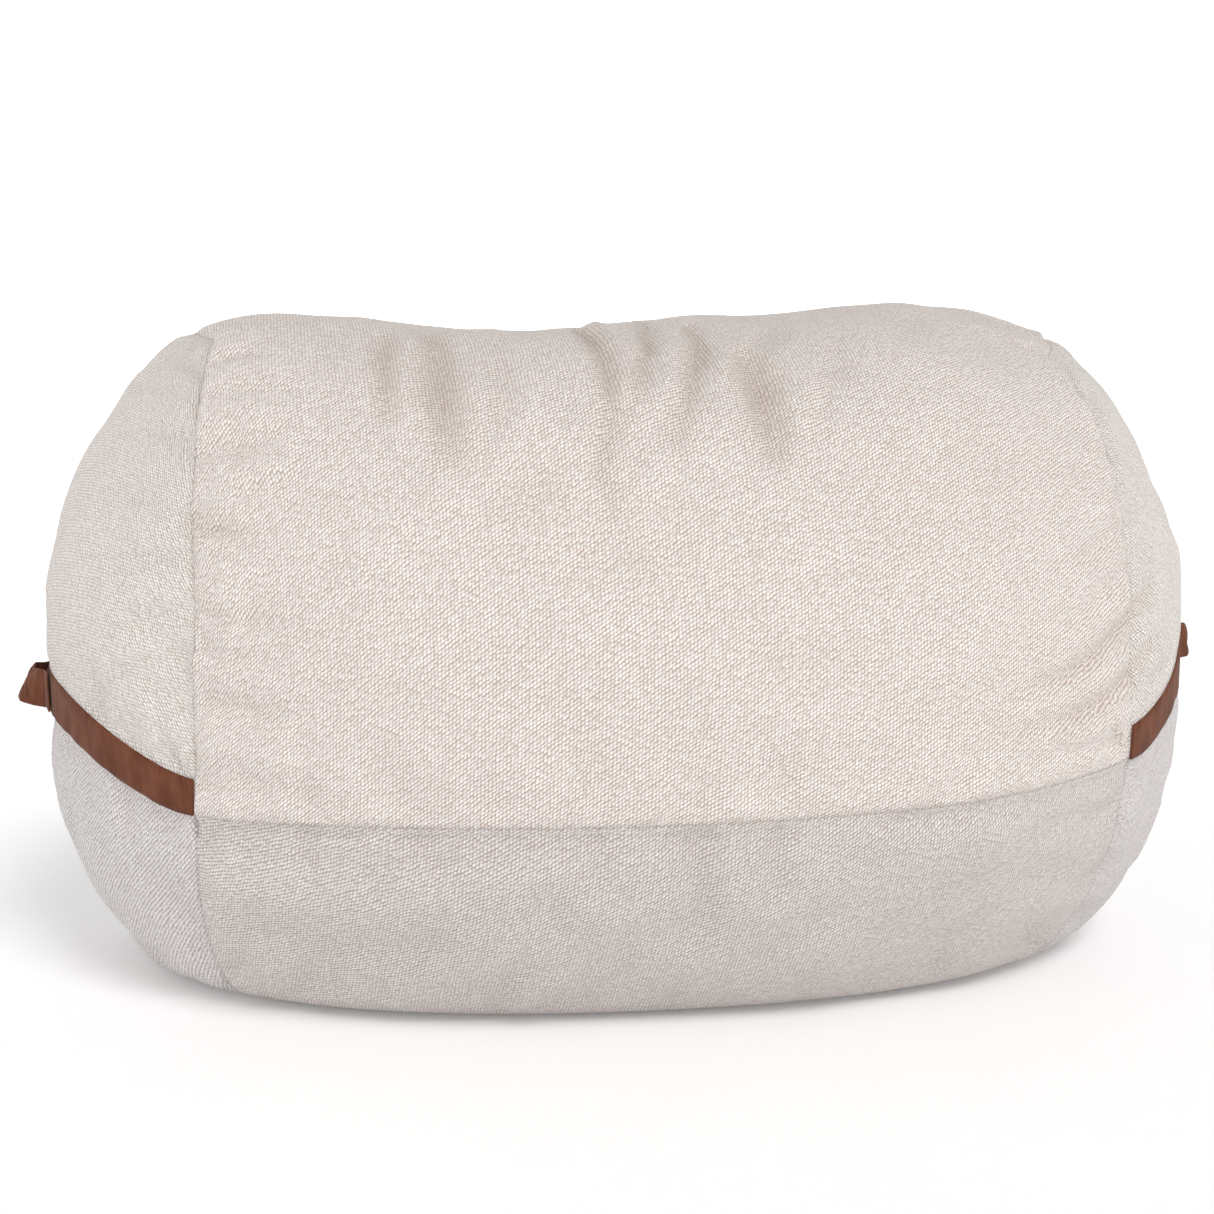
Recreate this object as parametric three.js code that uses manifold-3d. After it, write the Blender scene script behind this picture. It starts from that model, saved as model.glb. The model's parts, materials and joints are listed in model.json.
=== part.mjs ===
// Bean bag lounger: a wide, shredded-foam-filled bag with a removable woven cover.
// The cover is a wrap-round main panel, two arched end panels, four lower wall panels and a
// two-piece base closed by a zip. Suede-look bands run round both ends and carry a loop handle each.
// Inside is a lighter liner with its own zip, holding the loose foam fill.
// Units are millimetres, +Z up, +X along the bag, -Y is the front. The origin is on the floor
// under the middle of the bag's box.
import * as THREE from "three";
import { mergeVertices } from "three/addons/utils/BufferGeometryUtils.js";
import Module from "manifold-3d";

const wasm = await Module();
wasm.setup();

// ---------- driving dimensions ----------
const HALF_X = 715; // half width of the bag before its right-hand bulge
const HALF_Y = 521.7; // half depth
const Z_MID = 424.1; // height of the equator
const RISE = 408.4; // equator to crest
const DROP = 517.4; // equator to the underside, before the floor flattens it
const FLOOR_BLEND = 30; // how gently the wall turns into the flat underside
const PLAN_POWER = 2.228; // roundness of the outline seen from above
const TOP_POWER = 3.215; // roundness of the shoulders
const LOW_POWER = 3.29; // roundness of the underside's edge
const CORNER_LEFT = [0.8505, -0.0589, -0.2549, -0.0227]; // how far the left corner seams are moved round towards
const CORNER_RIGHT = [0.8139, -0.0536, -0.1523, 0.0932]; // the end, as a cubic in height; the same on the right
const CORNER_LIFT = 1.153; // carries the end panels' top corners up to the crest
const CORNER_DROP = 1.2; // and tucks the base seam under the foot
const FOOT_SHIFT = 14, FOOT_RISE = 200; // the foot has slumped to the left below this height
const LEAN = 64.8; // how far back the crest sits
const DIP = 68.9, DIP_X = -184.6, DIP_W = 487; // the saddle in the crest
const TOP_TILT = -34.4; // crest slope from left to right
const LOBE = 16, LOBE_X = 350, LOBE_W = 250; // the fuller right-hand shoulder
const BULGE_R = 0.167, BULGE_L = 0.0995; // fuller towards the back at each end
const X_SHIFT = -7.33, Y_SHIFT = -3.93; // brings the box's middle over the origin

const SEAM_Z = 250; // the seam round the walls
const SEAM_SAG = 10, SEAM_SLOPE = 15; // its rise towards the corners, and to the right
const SEAM_LIFT_L = 72, SEAM_LIFT_R = 69; // its rise over the middle of each end
const BAND_H = 49, BAND_TAPER = 9; // height of the end bands, less towards the corners

const COVER_T = 2.0; // cover cloth
const BAND_PROUD = 1.2, BAND_T = 2.2;
const LINER_GAP = 2.6, LINER_T = 1.0; // liner, measured in from the cover's outside
const LINER_BASE = 10.0; // the liner's height over the floor
const FILL_GAP = 4.2, FILL_BASE = 17.0;
const SEAM_GAP = 0.35; // half the gap at every sewn joint

const NX = 14, NY = 10, N_LOW = 4, N_UP = 7; // grid of the soft surfaces

const HANDLE_FREE = 134, HANDLE_SEWN = 32; // lengths along the strap: the free loop, and each sewn end
const HANDLE_AT = 50; // the loop's middle, behind the middle of the end
const HANDLE_W = 46, HANDLE_T = 2.4;
const HANDLE_BOW = { left: 26, right: 36 }; // how far the loop stands off
const HANDLE_TILT = 0.28; // its lower edge flares out, in radians

// ---------- the bag's outer surface ----------
// q is a point on a cube of half side 1; the surface depends only on its direction.
function surface(q) {
  const m = Math.max(Math.abs(q[0]), Math.abs(q[1]), Math.abs(q[2]));
  const a = q[0] / m, b = q[1] / m, c = q[2] / m;
  const cubic = (k) => k[0] + c * (k[1] + c * (k[2] + c * k[3]));
  const pull = (cubic(CORNER_LEFT) * (1 - a) + cubic(CORNER_RIGHT) * (1 + a)) / 2;
  const qx = a, qy = b * pull, qz = c > 0 ? c * CORNER_LIFT : c * CORNER_DROP;
  const rho = Math.pow(Math.pow(Math.abs(qx), PLAN_POWER) + Math.pow(Math.abs(qy), PLAN_POWER), 1 / PLAN_POWER);
  const n = qz > 0 ? TOP_POWER : LOW_POWER;
  const s = Math.pow(Math.pow(rho, n) + Math.pow(Math.abs(qz), n), 1 / n);
  const X = qx / s, Y = qy / s, Z = qz / s;
  const Z2 = Z * Z, Z4 = Z2 * Z2;
  let z = Z_MID + (Z > 0 ? RISE : DROP) * Z;
  const kx = Z > 0 ? 1 - 0.2472 * Z2 + 0.3575 * Z4 : 1 + 0.0257 * Z2 - 0.042 * Z4;
  const ky = Z > 0 ? 1 - 0.2004 * Z2 : 1 - 0.2933 * Z2;
  let x = HALF_X * kx * X;
  const top = Math.pow(Math.max(Z, 0), 4);
  x *= 1 + (X > 0 ? BULGE_R : BULGE_L) * Y * Math.abs(X) * (1 - Math.max(Z, 0) ** 2);
  const y = HALF_Y * ky * Y + LEAN * Math.max(Z, 0);
  z += -DIP * top * Math.exp(-(((x - DIP_X) / DIP_W) ** 2)) + (TOP_TILT * top * x) / HALF_X
     + LOBE * top * Math.exp(-(((x - LOBE_X) / LOBE_W) ** 2));
  const w = FLOOR_BLEND;
  z = z <= -w ? 0 : z >= w ? z : ((z + w) * (z + w)) / (4 * w);
  const foot = Math.max(0, 1 - z / FOOT_RISE);
  x -= FOOT_SHIFT * foot * foot * (3 - 2 * foot);
  return [x + X_SHIFT, y + Y_SHIFT, z];
}
const sub = (a, b) => [a[0] - b[0], a[1] - b[1], a[2] - b[2]];
const add = (a, b, k = 1) => [a[0] + k * b[0], a[1] + k * b[1], a[2] + k * b[2]];
const cross = (a, b) => [a[1] * b[2] - a[2] * b[1], a[2] * b[0] - a[0] * b[2], a[0] * b[1] - a[1] * b[0]];
const dot = (a, b) => a[0] * b[0] + a[1] * b[1] + a[2] * b[2];
const len = (a) => Math.hypot(...a);
const unit = (a) => { const l = len(a); return [a[0] / l, a[1] / l, a[2] / l]; };

function normal(q) {
  const d = unit(q);
  const a = unit(Math.abs(d[2]) < 0.9 ? cross([0, 0, 1], d) : cross([1, 0, 0], d));
  const b = cross(d, a);
  const e = 2e-3;
  const u = sub(surface(add(d, a, e)), surface(add(d, a, -e)));
  const v = sub(surface(add(d, b, e)), surface(add(d, b, -e)));
  const n = unit(cross(u, v));
  return dot(n, d) < 0 ? [-n[0], -n[1], -n[2]] : n;
}
// A point `depth` inside the outer surface; a base depth can be deeper than the walls'.
function inside(q, depth, base = depth) {
  const p = surface(q), n = normal(q);
  let w = 1 - Math.min(1, Math.max(0, (p[2] - 5) / 70));
  w = w * w * (3 - 2 * w);
  return add(p, n, -(depth + (base - depth) * w));
}

// ---------- cube faces, and the levels of the seams on them ----------
const wall = {
  front: (t, z) => [t, -1, z], back: (t, z) => [t, 1, z],
  left: (t, z) => [-1, t, z], right: (t, z) => [1, t, z],
};
function seamZ(face, t) {
  const end = t < 0 ? (1 - t * t) ** 2 : 1 - t * t; // it climbs late at the front, evenly at the back
  if (face === "left") return SEAM_Z + SEAM_SAG - SEAM_SLOPE + SEAM_LIFT_L * end;
  if (face === "right") return SEAM_Z + SEAM_SAG + SEAM_SLOPE + SEAM_LIFT_R * end;
  return SEAM_Z + SEAM_SAG * t * t + SEAM_SLOPE * t;
}
const bandH = (t) => BAND_H - BAND_TAPER * t * t;
function levelAt(face, t, z) {
  let lo = -1, hi = 0.9;
  for (let i = 0; i < 40; i++) {
    const m = (lo + hi) / 2;
    if (surface(wall[face](t, m))[2] > z) hi = m; else lo = m;
  }
  return (lo + hi) / 2;
}
const spread = (n) => Array.from({ length: n + 1 }, (_, i) => -1 + (2 * i) / n);
const TX = spread(NX), TY = spread(NY);
const lerp = (a, b, k) => a + (b - a) * k;
// Columns of q up a wall: lower rows, the band's row, and upper rows.
function wallColumns(face) {
  const ts = face === "front" || face === "back" ? TX : TY;
  return ts.map((t) => {
    const s = levelAt(face, t, seamZ(face, t)), b = levelAt(face, t, seamZ(face, t) + bandH(t));
    const q = [];
    for (let j = 0; j <= N_LOW; j++) q.push(wall[face](t, lerp(-1, s, j / N_LOW)));
    for (let j = 0; j <= N_UP; j++) q.push(wall[face](t, lerp(b, 1, j / N_UP)));
    return q;
  });
}
const columns = { front: wallColumns("front"), back: wallColumns("back"), left: wallColumns("left"), right: wallColumns("right") };
const topGrid = TX.map((x) => TY.map((y) => [x, y, 1]));
const baseGrid = TX.map((x) => TY.map((y) => [x, y, -1]));

// ---------- solids from grids ----------
function geometryOf(points, faces) {
  const g = new THREE.BufferGeometry();
  g.setAttribute("position", new THREE.Float32BufferAttribute(points.flat(), 3));
  g.setIndex(faces.flat());
  const m = mergeVertices(g, 1e-3);
  let vol = 0;
  const p = m.attributes.position.array, ix = m.index.array;
  for (let i = 0; i < ix.length; i += 3) {
    const [a, b, c] = [0, 1, 2].map((k) => [p[3 * ix[i + k]], p[3 * ix[i + k] + 1], p[3 * ix[i + k] + 2]]);
    vol += dot(a, cross(b, c));
  }
  if (vol < 0) for (let i = 0; i < ix.length; i += 3) [ix[i + 1], ix[i + 2]] = [ix[i + 2], ix[i + 1]];
  return m;
}
// Every layer splits a grid square along the same diagonal: the shorter one on the outer surface.
const before = (a, b) => { for (let k = 0; k < 3; k++) if (Math.abs(a[k] - b[k]) > 1e-9) return a[k] < b[k]; return false; };
function alongAC(a, b, c, d) {
  const ac = len(sub(surface(a), surface(c))), bd = len(sub(surface(b), surface(d)));
  if (Math.abs(ac - bd) > 1e-4) return ac < bd;
  return before(before(a, c) ? a : c, before(b, d) ? b : d);
}
// Two matching grids of points, closed round their edges.
function slab(outer, inner, qs = null) {
  const m = outer.length, n = outer[0].length, points = [], faces = [];
  const o = (i, j) => i * n + j, k = (i, j) => m * n + i * n + j;
  for (const g of [outer, inner]) for (const row of g) for (const p of row) points.push(p);
  const quad = (a, b, c, d, ac = true) => { if (ac) faces.push([a, b, c], [a, c, d]); else faces.push([a, b, d], [b, c, d]); };
  for (let i = 0; i < m - 1; i++) for (let j = 0; j < n - 1; j++) {
    const ac = !qs || alongAC(qs[i][j], qs[i + 1][j], qs[i + 1][j + 1], qs[i][j + 1]);
    quad(o(i, j), o(i + 1, j), o(i + 1, j + 1), o(i, j + 1), ac);
    quad(k(i, j), k(i, j + 1), k(i + 1, j + 1), k(i + 1, j), ac);
  }
  for (let i = 0; i < m - 1; i++) {
    quad(o(i, 0), k(i, 0), k(i + 1, 0), o(i + 1, 0));
    quad(o(i, n - 1), o(i + 1, n - 1), k(i + 1, n - 1), k(i, n - 1));
  }
  for (let j = 0; j < n - 1; j++) {
    quad(o(0, j), o(0, j + 1), k(0, j + 1), k(0, j));
    quad(o(m - 1, j), k(m - 1, j), k(m - 1, j + 1), o(m - 1, j + 1));
  }
  return geometryOf(points, faces);
}
// Pulls a grid's edges in by the seam gap.
function drawnIn(grid, gap = SEAM_GAP) {
  const m = grid.length, n = grid[0].length;
  const g = grid.map((row) => row.map((p) => [...p]));
  const pull = (p, to) => add(p, unit(sub(to, p)), gap);
  for (let j = 0; j < n; j++) { g[0][j] = pull(g[0][j], grid[1][j]); g[m - 1][j] = pull(g[m - 1][j], grid[m - 2][j]); }
  for (let i = 0; i < m; i++) { g[i][0] = pull(g[i][0], grid[i][1]); g[i][n - 1] = pull(g[i][n - 1], grid[i][n - 2]); }
  return g;
}
function panel(qs, out = 0, thick = COVER_T) {
  return slab(drawnIn(qs.map((r) => r.map((q) => inside(q, -out)))), drawnIn(qs.map((r) => r.map((q) => inside(q, thick - out)))), qs);
}
// The whole closed surface at one depth.
function closed(depth, base) {
  const points = [], faces = [];
  for (const grid of [columns.front, columns.back, columns.left, columns.right, topGrid, baseGrid]) {
    const start = points.length, n = grid[0].length;
    for (const row of grid) for (const q of row) points.push(inside(q, depth, base));
    const mid = grid[grid.length >> 1][n >> 1], pq = surface(mid);
    const a = surface(grid[(grid.length >> 1) + 1][n >> 1]), b = surface(grid[grid.length >> 1][(n >> 1) + 1]);
    const out = dot(cross(sub(a, pq), sub(b, pq)), normal(mid)) > 0;
    for (let i = 0; i < grid.length - 1; i++) for (let j = 0; j < n - 1; j++) {
      const A = start + i * n + j, B = A + n, C = B + 1, D = A + 1;
      const ac = alongAC(grid[i][j], grid[i + 1][j], grid[i + 1][j + 1], grid[i][j + 1]);
      for (const f of ac ? [[A, B, C], [A, C, D]] : [[A, B, D], [B, C, D]]) faces.push(out ? f : [f[0], f[2], f[1]]);
    }
  }
  return geometryOf(points, faces);
}

// ---------- booleans ----------
function solid(g) {
  const c = new THREE.BufferGeometry();
  c.setAttribute("position", g.attributes.position.clone());
  if (g.index) c.setIndex(g.index.clone());
  const m = mergeVertices(c, 1e-3);
  return new wasm.Manifold(new wasm.Mesh({ numProp: 3, vertProperties: m.attributes.position.array, triVerts: new Uint32Array(m.index.array) }));
}
function geometry(s) {
  const m = s.getMesh(), n = m.numProp, v = new Float32Array(m.numVert * 3);
  for (let i = 0; i < m.numVert; i++) v.set(m.vertProperties.subarray(i * n, i * n + 3), i * 3);
  return new THREE.BufferGeometry().setAttribute("position", new THREE.BufferAttribute(v, 3)).setIndex(new THREE.BufferAttribute(m.triVerts, 1));
}
const block = (x0, x1, y0, y1, z0, z1) => new THREE.BoxGeometry(x1 - x0, y1 - y0, z1 - z0).translate((x0 + x1) / 2, (y0 + y1) / 2, (z0 + z1) / 2);
const cut = (g, ...tools) => geometry(tools.reduce((s, t) => s.subtract(solid(t)), solid(g)));
const join = (g, ...more) => geometry(more.reduce((s, t) => s.add(solid(t)), solid(g)));

// ---------- materials ----------
const cloth = new THREE.MeshStandardMaterial({ color: 0xddd3ca, roughness: 0.95, metalness: 0 });
const suede = new THREE.MeshStandardMaterial({ color: 0x744533, roughness: 0.9, metalness: 0 });
const lining = new THREE.MeshStandardMaterial({ color: 0xe9e9e6, roughness: 0.8, metalness: 0 });
const foam = new THREE.MeshStandardMaterial({ color: 0xe6ddb8, roughness: 1, metalness: 0 });
const tape = new THREE.MeshStandardMaterial({ color: 0xd8cdc0, roughness: 0.9, metalness: 0 });
const nylon = new THREE.MeshStandardMaterial({ color: 0xcfc4b6, roughness: 0.5, metalness: 0 });
const metal = new THREE.MeshStandardMaterial({ color: 0xb9b6b0, roughness: 0.35, metalness: 1 });
const satin = new THREE.MeshStandardMaterial({ color: 0xf4f4f0, roughness: 0.6, metalness: 0 });

const bag = new THREE.Group();
function put(name, g, material) {
  const m = new THREE.Mesh(g, material);
  m.name = name;
  bag.add(m);
}

// ---------- the cover ----------
const low = (face) => columns[face].map((c) => c.slice(0, N_LOW + 1));
const up = (face) => columns[face].map((c) => c.slice(N_LOW + 1));
// One strip from the front seam, over the top, and down to the back seam.
const mainStrip = TX.map((_, i) => {
  const front = columns.front[i].slice(N_LOW), back = columns.back[i].slice(N_LOW);
  return [...front, ...topGrid[i].slice(1, -1), ...back.reverse()];
});
put("main_panel", panel(mainStrip), cloth);
put("left_end_panel", panel(up("left")), cloth);
put("right_end_panel", panel(up("right")), cloth);
put("front_lower_panel", panel(low("front")), cloth);
put("back_lower_panel", panel(low("back")), cloth);
put("left_lower_panel", panel(low("left")), cloth);
put("right_lower_panel", panel(low("right")), cloth);

// The base is two halves that meet along the bag, with the zip's slot between them.
const ZIP_HALF = 450, SLOT_HALF = 8;
const slot = block(-ZIP_HALF - 12, ZIP_HALF + 12, Y_SHIFT - SLOT_HALF, Y_SHIFT + SLOT_HALF, -5, 7);
const half = NY / 2;
// Each half's edge is turned in along the slot, so the zip's tapes sit on the turned hem.
const HEM_W = 14, HEM_Z = 4.0;
const hem = (side) => side > 0
  ? block(-ZIP_HALF - 26, ZIP_HALF + 26, Y_SHIFT + SLOT_HALF, Y_SHIFT + SLOT_HALF + HEM_W, 1.5, HEM_Z)
  : block(-ZIP_HALF - 26, ZIP_HALF + 26, Y_SHIFT - SLOT_HALF - HEM_W, Y_SHIFT - SLOT_HALF, 1.5, HEM_Z);
put("base_front_panel", join(cut(panel(baseGrid.map((r) => r.slice(0, half + 1))), slot), hem(-1)), cloth);
put("base_rear_panel", join(cut(panel(baseGrid.map((r) => r.slice(half))), slot), hem(1)), cloth);

// ---------- end bands and handles ----------
const bandGrid = (face) => columns[face].map((c) => [c[N_LOW], c[N_LOW + 1]]);
put("left_band", panel(bandGrid("left"), BAND_PROUD, BAND_T), suede);
put("right_band", panel(bandGrid("right"), BAND_PROUD, BAND_T), suede);

// Positions along a band by the length of its middle line, from the middle of the end.
function bandLine(face) {
  const rows = [];
  let at = 0, last = null;
  for (let i = 0; i <= 400; i++) {
    const t = -1 + i / 200, p = surface(bandPoint(face, t));
    if (last) at += len(sub(p, last));
    rows.push([at, t]);
    last = p;
  }
  const zero = rows[200][0];
  return (a) => {
    const s = a + zero;
    let i = 1;
    while (i < 400 && rows[i][0] < s) i++;
    const [s0, t0] = rows[i - 1], [s1, t1] = rows[i];
    return lerp(t0, t1, (s - s0) / (s1 - s0));
  };
}
function bandPoint(face, t) { return wall[face](t, levelAt(face, t, seamZ(face, t) + bandH(t) / 2)); }
// A length of strap from a0 to a1, counted from the loop's middle. Its free part bows out level
// and tilts, so that its upper edge stays nearest the bag.
function strapRow(face, tAt, a, lift) {
  const q = bandPoint(face, tAt(a + HANDLE_AT)), n = normal(q), p = add(surface(q), n, BAND_PROUD + 0.4);
  const out = unit([n[0], n[1], 0]);
  const g = Math.abs(a) < HANDLE_FREE / 2 ? Math.cos((Math.PI * a) / HANDLE_FREE) : 0;
  const lean = Math.atan2(-n[2], Math.hypot(n[0], n[1])) * (1 - g) - HANDLE_TILT * g;
  const across = add([0, 0, Math.cos(lean)], out, Math.sin(lean));
  const face_n = add([0, 0, -Math.sin(lean)], out, Math.cos(lean));
  const c = add(add(p, out, g * HANDLE_BOW[face]), face_n, lift);
  return [-1, 0, 1].map((h) => add(c, across, (h * HANDLE_W) / 2));
}
function strap(face, tAt, a0, a1, steps) {
  const grid = (lift) => Array.from({ length: steps + 1 }, (_, i) => strapRow(face, tAt, lerp(a0, a1, i / steps), lift));
  return slab(grid(HANDLE_T), grid(0));
}
for (const face of ["left", "right"]) {
  const tAt = bandLine(face), F = HANDLE_FREE / 2, g = 0.3;
  put(face + "_handle", strap(face, tAt, -F + g, F - g, 16), suede);
  put(face + "_handle_front_tab", strap(face, tAt, -F - HANDLE_SEWN, -F - g, 4), suede);
  put(face + "_handle_rear_tab", strap(face, tAt, F + g, F + HANDLE_SEWN, 4), suede);
}

// ---------- zips ----------
// A coil zip lying flat along X: two tapes, two coils, a slider without a pull, and stops.
function zip(name, y, zTape, halfLength) {
  const L = halfLength, t0 = zTape, t1 = zTape + 0.8, mid = zTape + 0.4;
  put(name + "_front_tape", block(-L - 22, L + 22, y - 20, y - 3.05, t0, t1), tape);
  put(name + "_rear_tape", block(-L - 22, L + 22, y + 3.05, y + 20, t0, t1), tape);
  put(name + "_front_coil", block(-L, L, y - 2.75, y - 0.15, mid - 1.4, mid + 1.4), nylon);
  put(name + "_rear_coil", block(-L, L, y + 0.15, y + 2.75, mid - 1.4, mid + 1.4), nylon);
  const x0 = L - 12, x1 = L + 6;
  const body = block(x0, x1, y - 6.2, y + 6.2, mid - 2.4, mid + 2.4);
  const channel = block(x0 - 1, x1 + 1, y - 5, y + 5, mid - 1.7, mid + 1.7);
  const slit = block(x0 - 1, x1 + 1, y - 7, y + 7, mid - 0.8, mid + 0.8);
  const neck = block(L + 1, L + 4, y - 1.2, y + 1.2, mid - 2.0, mid + 2.0);
  const lug = block(L - 7, L - 1, y - 1.5, y + 1.5, mid - 3.6, mid - 2.2);
  put(name + "_slider", join(cut(body, channel, slit), neck, lug), metal);
  for (const [end, s, x] of [["top", 1, L + 10], ["bottom", -1, -L - 5]])
    put(name + "_" + end + "_stop", block(x - 1.6, x + 1.6, y - 2.6, y + 2.6, mid - 1.3, mid + 1.3), metal);
}
zip("cover_zip", Y_SHIFT, HEM_Z + 0.3, ZIP_HALF);

// ---------- liner and fill ----------
const LINER_ZIP_HALF = 300, LINER_ZIP_Y = Y_SHIFT + 60;
const linerShell = solid(closed(LINER_GAP, LINER_BASE)).subtract(solid(closed(LINER_GAP + LINER_T, LINER_BASE + LINER_T)));
const linerSlot = block(-LINER_ZIP_HALF - 12, LINER_ZIP_HALF + 12, LINER_ZIP_Y - SLOT_HALF, LINER_ZIP_Y + SLOT_HALF, 4, 13);
put("liner", geometry(linerShell.subtract(solid(linerSlot))), lining);
zip("liner_zip", LINER_ZIP_Y, LINER_BASE + LINER_T + 0.3, LINER_ZIP_HALF);
put("foam_fill", closed(FILL_GAP, FILL_BASE), foam);

// ---------- care label, sewn into the back seam beside the left corner ----------
const labelGrid = (out) => [-0.62, -0.59, -0.56].map((t) => [0, 1, 2].map((k) => {
  const q = wall.back(t, levelAt("back", t, seamZ("back", t) - 6 - 28 * k));
  return add(surface(q), normal(q), out);
}));
put("care_label", slab(labelGrid(4.0), labelGrid(3.3)), satin);

export default bag;
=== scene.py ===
"""Looks for the bean bag lounger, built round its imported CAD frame."""

import bpy
import json
import math
import numpy as np
from mathutils import Matrix, Vector


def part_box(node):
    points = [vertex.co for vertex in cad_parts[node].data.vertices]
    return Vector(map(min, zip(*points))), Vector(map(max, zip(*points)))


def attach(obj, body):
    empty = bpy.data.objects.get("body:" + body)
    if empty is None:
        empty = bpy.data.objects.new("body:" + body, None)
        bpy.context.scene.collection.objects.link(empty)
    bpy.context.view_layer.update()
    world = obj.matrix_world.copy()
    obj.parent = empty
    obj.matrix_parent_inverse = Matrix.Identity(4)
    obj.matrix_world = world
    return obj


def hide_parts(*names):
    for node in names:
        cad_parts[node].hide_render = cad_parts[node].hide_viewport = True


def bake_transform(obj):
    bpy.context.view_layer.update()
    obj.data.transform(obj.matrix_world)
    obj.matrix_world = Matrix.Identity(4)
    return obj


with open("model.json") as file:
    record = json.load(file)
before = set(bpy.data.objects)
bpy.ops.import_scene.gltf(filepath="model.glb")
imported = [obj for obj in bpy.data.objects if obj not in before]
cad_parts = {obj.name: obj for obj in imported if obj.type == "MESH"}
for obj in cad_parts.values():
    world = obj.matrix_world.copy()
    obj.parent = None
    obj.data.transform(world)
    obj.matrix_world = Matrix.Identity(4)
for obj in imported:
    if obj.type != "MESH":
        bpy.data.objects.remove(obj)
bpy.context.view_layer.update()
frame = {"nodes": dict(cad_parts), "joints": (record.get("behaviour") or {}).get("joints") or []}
SCENE = bpy.context.scene

# ------------------------------------------------------------------ the bag's surface, as the CAD has it
HX, HY, ZM, RISE, DROP, FLOOR = 0.715, 0.5217, 0.4241, 0.4084, 0.5174, 0.030
PP, TP, LP = 2.228, 3.215, 3.29
LEAN, DIP, DIPX, DIPW, TILT, LOBE, LOBX, LOBW = 0.0648, 0.0689, -0.1846, 0.487, -0.0344, 0.016, 0.350, 0.250
BR, BL, XS, YS = 0.167, 0.0995, -0.00733, -0.00393
SEAM, SAG, SLOPE, LIFTL, LIFTR = 0.250, 0.010, 0.015, 0.072, 0.069
CORNER_L, CORNER_R, CORNER_UP, CORNER_DOWN = (-0.0227, -0.2549, -0.0589, 0.8505), (0.0932, -0.1523, -0.0536, 0.8139), 1.153, 1.2
FOOT, FOOT_RISE = 0.014, 0.200


def surf(q):
    q = np.asarray(q, float)
    q = q / abs(q).max(-1, keepdims=True)
    qx, qz = q[..., 0], q[..., 2]
    qy = q[..., 1] * (np.polyval(CORNER_L, qz) * (1 - qx) + np.polyval(CORNER_R, qz) * (1 + qx)) / 2
    qz = np.where(qz > 0, qz * CORNER_UP, qz * CORNER_DOWN)
    rho = (abs(qx) ** PP + abs(qy) ** PP) ** (1 / PP)
    n = np.where(qz > 0, TP, LP)
    s = (rho ** n + abs(qz) ** n) ** (1 / n)
    X, Y, Z = qx / s, qy / s, qz / s
    up, Z2, Zp = Z > 0, Z * Z, np.maximum(Z, 0)
    Z4 = Z2 * Z2
    z = ZM + np.where(up, RISE, DROP) * Z
    kx = np.where(up, 1 - 0.2472 * Z2 + 0.3575 * Z4, 1 + 0.0257 * Z2 - 0.042 * Z4)
    ky = np.where(up, 1 - 0.2004 * Z2, 1 - 0.2933 * Z2)
    x = HX * kx * X
    top = Zp ** 4
    x = x * (1 + np.where(X > 0, BR, BL) * Y * abs(X) * (1 - Zp ** 2))
    y = HY * ky * Y + LEAN * Zp
    z = z - DIP * top * np.exp(-(((x - DIPX) / DIPW) ** 2)) + TILT * top * x / HX + LOBE * top * np.exp(-(((x - LOBX) / LOBW) ** 2))
    z = np.where(z <= -FLOOR, 0, np.where(z >= FLOOR, z, (z + FLOOR) ** 2 / (4 * FLOOR)))
    foot = np.maximum(0, 1 - z / FOOT_RISE)
    x = x - FOOT * foot * foot * (3 - 2 * foot)
    return np.stack([x + XS, y + YS, z], -1)


def on(face, t, w):
    t, w = np.broadcast_arrays(np.asarray(t, float), np.asarray(w, float))
    o = np.ones_like(t)
    return {"front": np.stack([t, -o, w], -1), "back": np.stack([t, o, w], -1), "left": np.stack([-o, t, w], -1),
            "right": np.stack([o, t, w], -1), "top": np.stack([t, w, o], -1), "base": np.stack([t, w, -o], -1)}[face]


def seam_z(face, t):
    t = np.asarray(t, float)
    end = np.where(t < 0, (1 - t * t) ** 2, 1 - t * t)
    if face == "left":
        return SEAM + SAG - SLOPE + LIFTL * end
    if face == "right":
        return SEAM + SAG + SLOPE + LIFTR * end
    return SEAM + SAG * t * t + SLOPE * t


def band_h(t):
    return 0.049 - 0.009 * t * t


def level(face, t, z):
    t = np.asarray(t, float)
    lo, hi = -np.ones_like(t), 0.9 * np.ones_like(t)
    for _ in range(40):
        m = (lo + hi) / 2
        above = surf(on(face, t, m))[..., 2] > z
        hi, lo = np.where(above, m, hi), np.where(above, lo, m)
    return (lo + hi) / 2


def unit(v):
    return v / np.maximum(np.linalg.norm(v, axis=-1, keepdims=True), 1e-12)


def normal(q):
    d = unit(np.asarray(q, float))
    a = unit(np.where(abs(d[..., 2:3]) < 0.9, np.cross([0, 0, 1.0], d), np.cross([1.0, 0, 0], d)))
    b, e = np.cross(d, a), 2e-3
    n = unit(np.cross(surf(d + a * e) - surf(d - a * e), surf(d + b * e) - surf(d - b * e)))
    return n * np.sign((n * d).sum(-1, keepdims=True))


# ------------------------------------------------------------------ camera
AZ, EL, DIST = math.radians(-10.15327), math.radians(7.224), 2.59772
AZ2, EL2 = math.radians(-10.15327 + 0.70294), math.radians(7.224 - 1.44916)


def away(az, el):
    return Vector((math.sin(az) * math.cos(el), -math.cos(az) * math.cos(el), math.sin(el)))


cam_data = bpy.data.cameras.new("camera")
cam = bpy.data.objects.new("camera", cam_data)
SCENE.collection.objects.link(cam)
SCENE.camera = cam
cam.location = Vector((XS, YS, 0.36)) + away(AZ, EL) * DIST
cam.rotation_euler = away(AZ2, EL2).to_track_quat("Z", "Y").to_euler()
cam_data.sensor_width = 36
cam_data.lens = 2057.835 / 1214 * 36
cam_data.clip_end = 100

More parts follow.
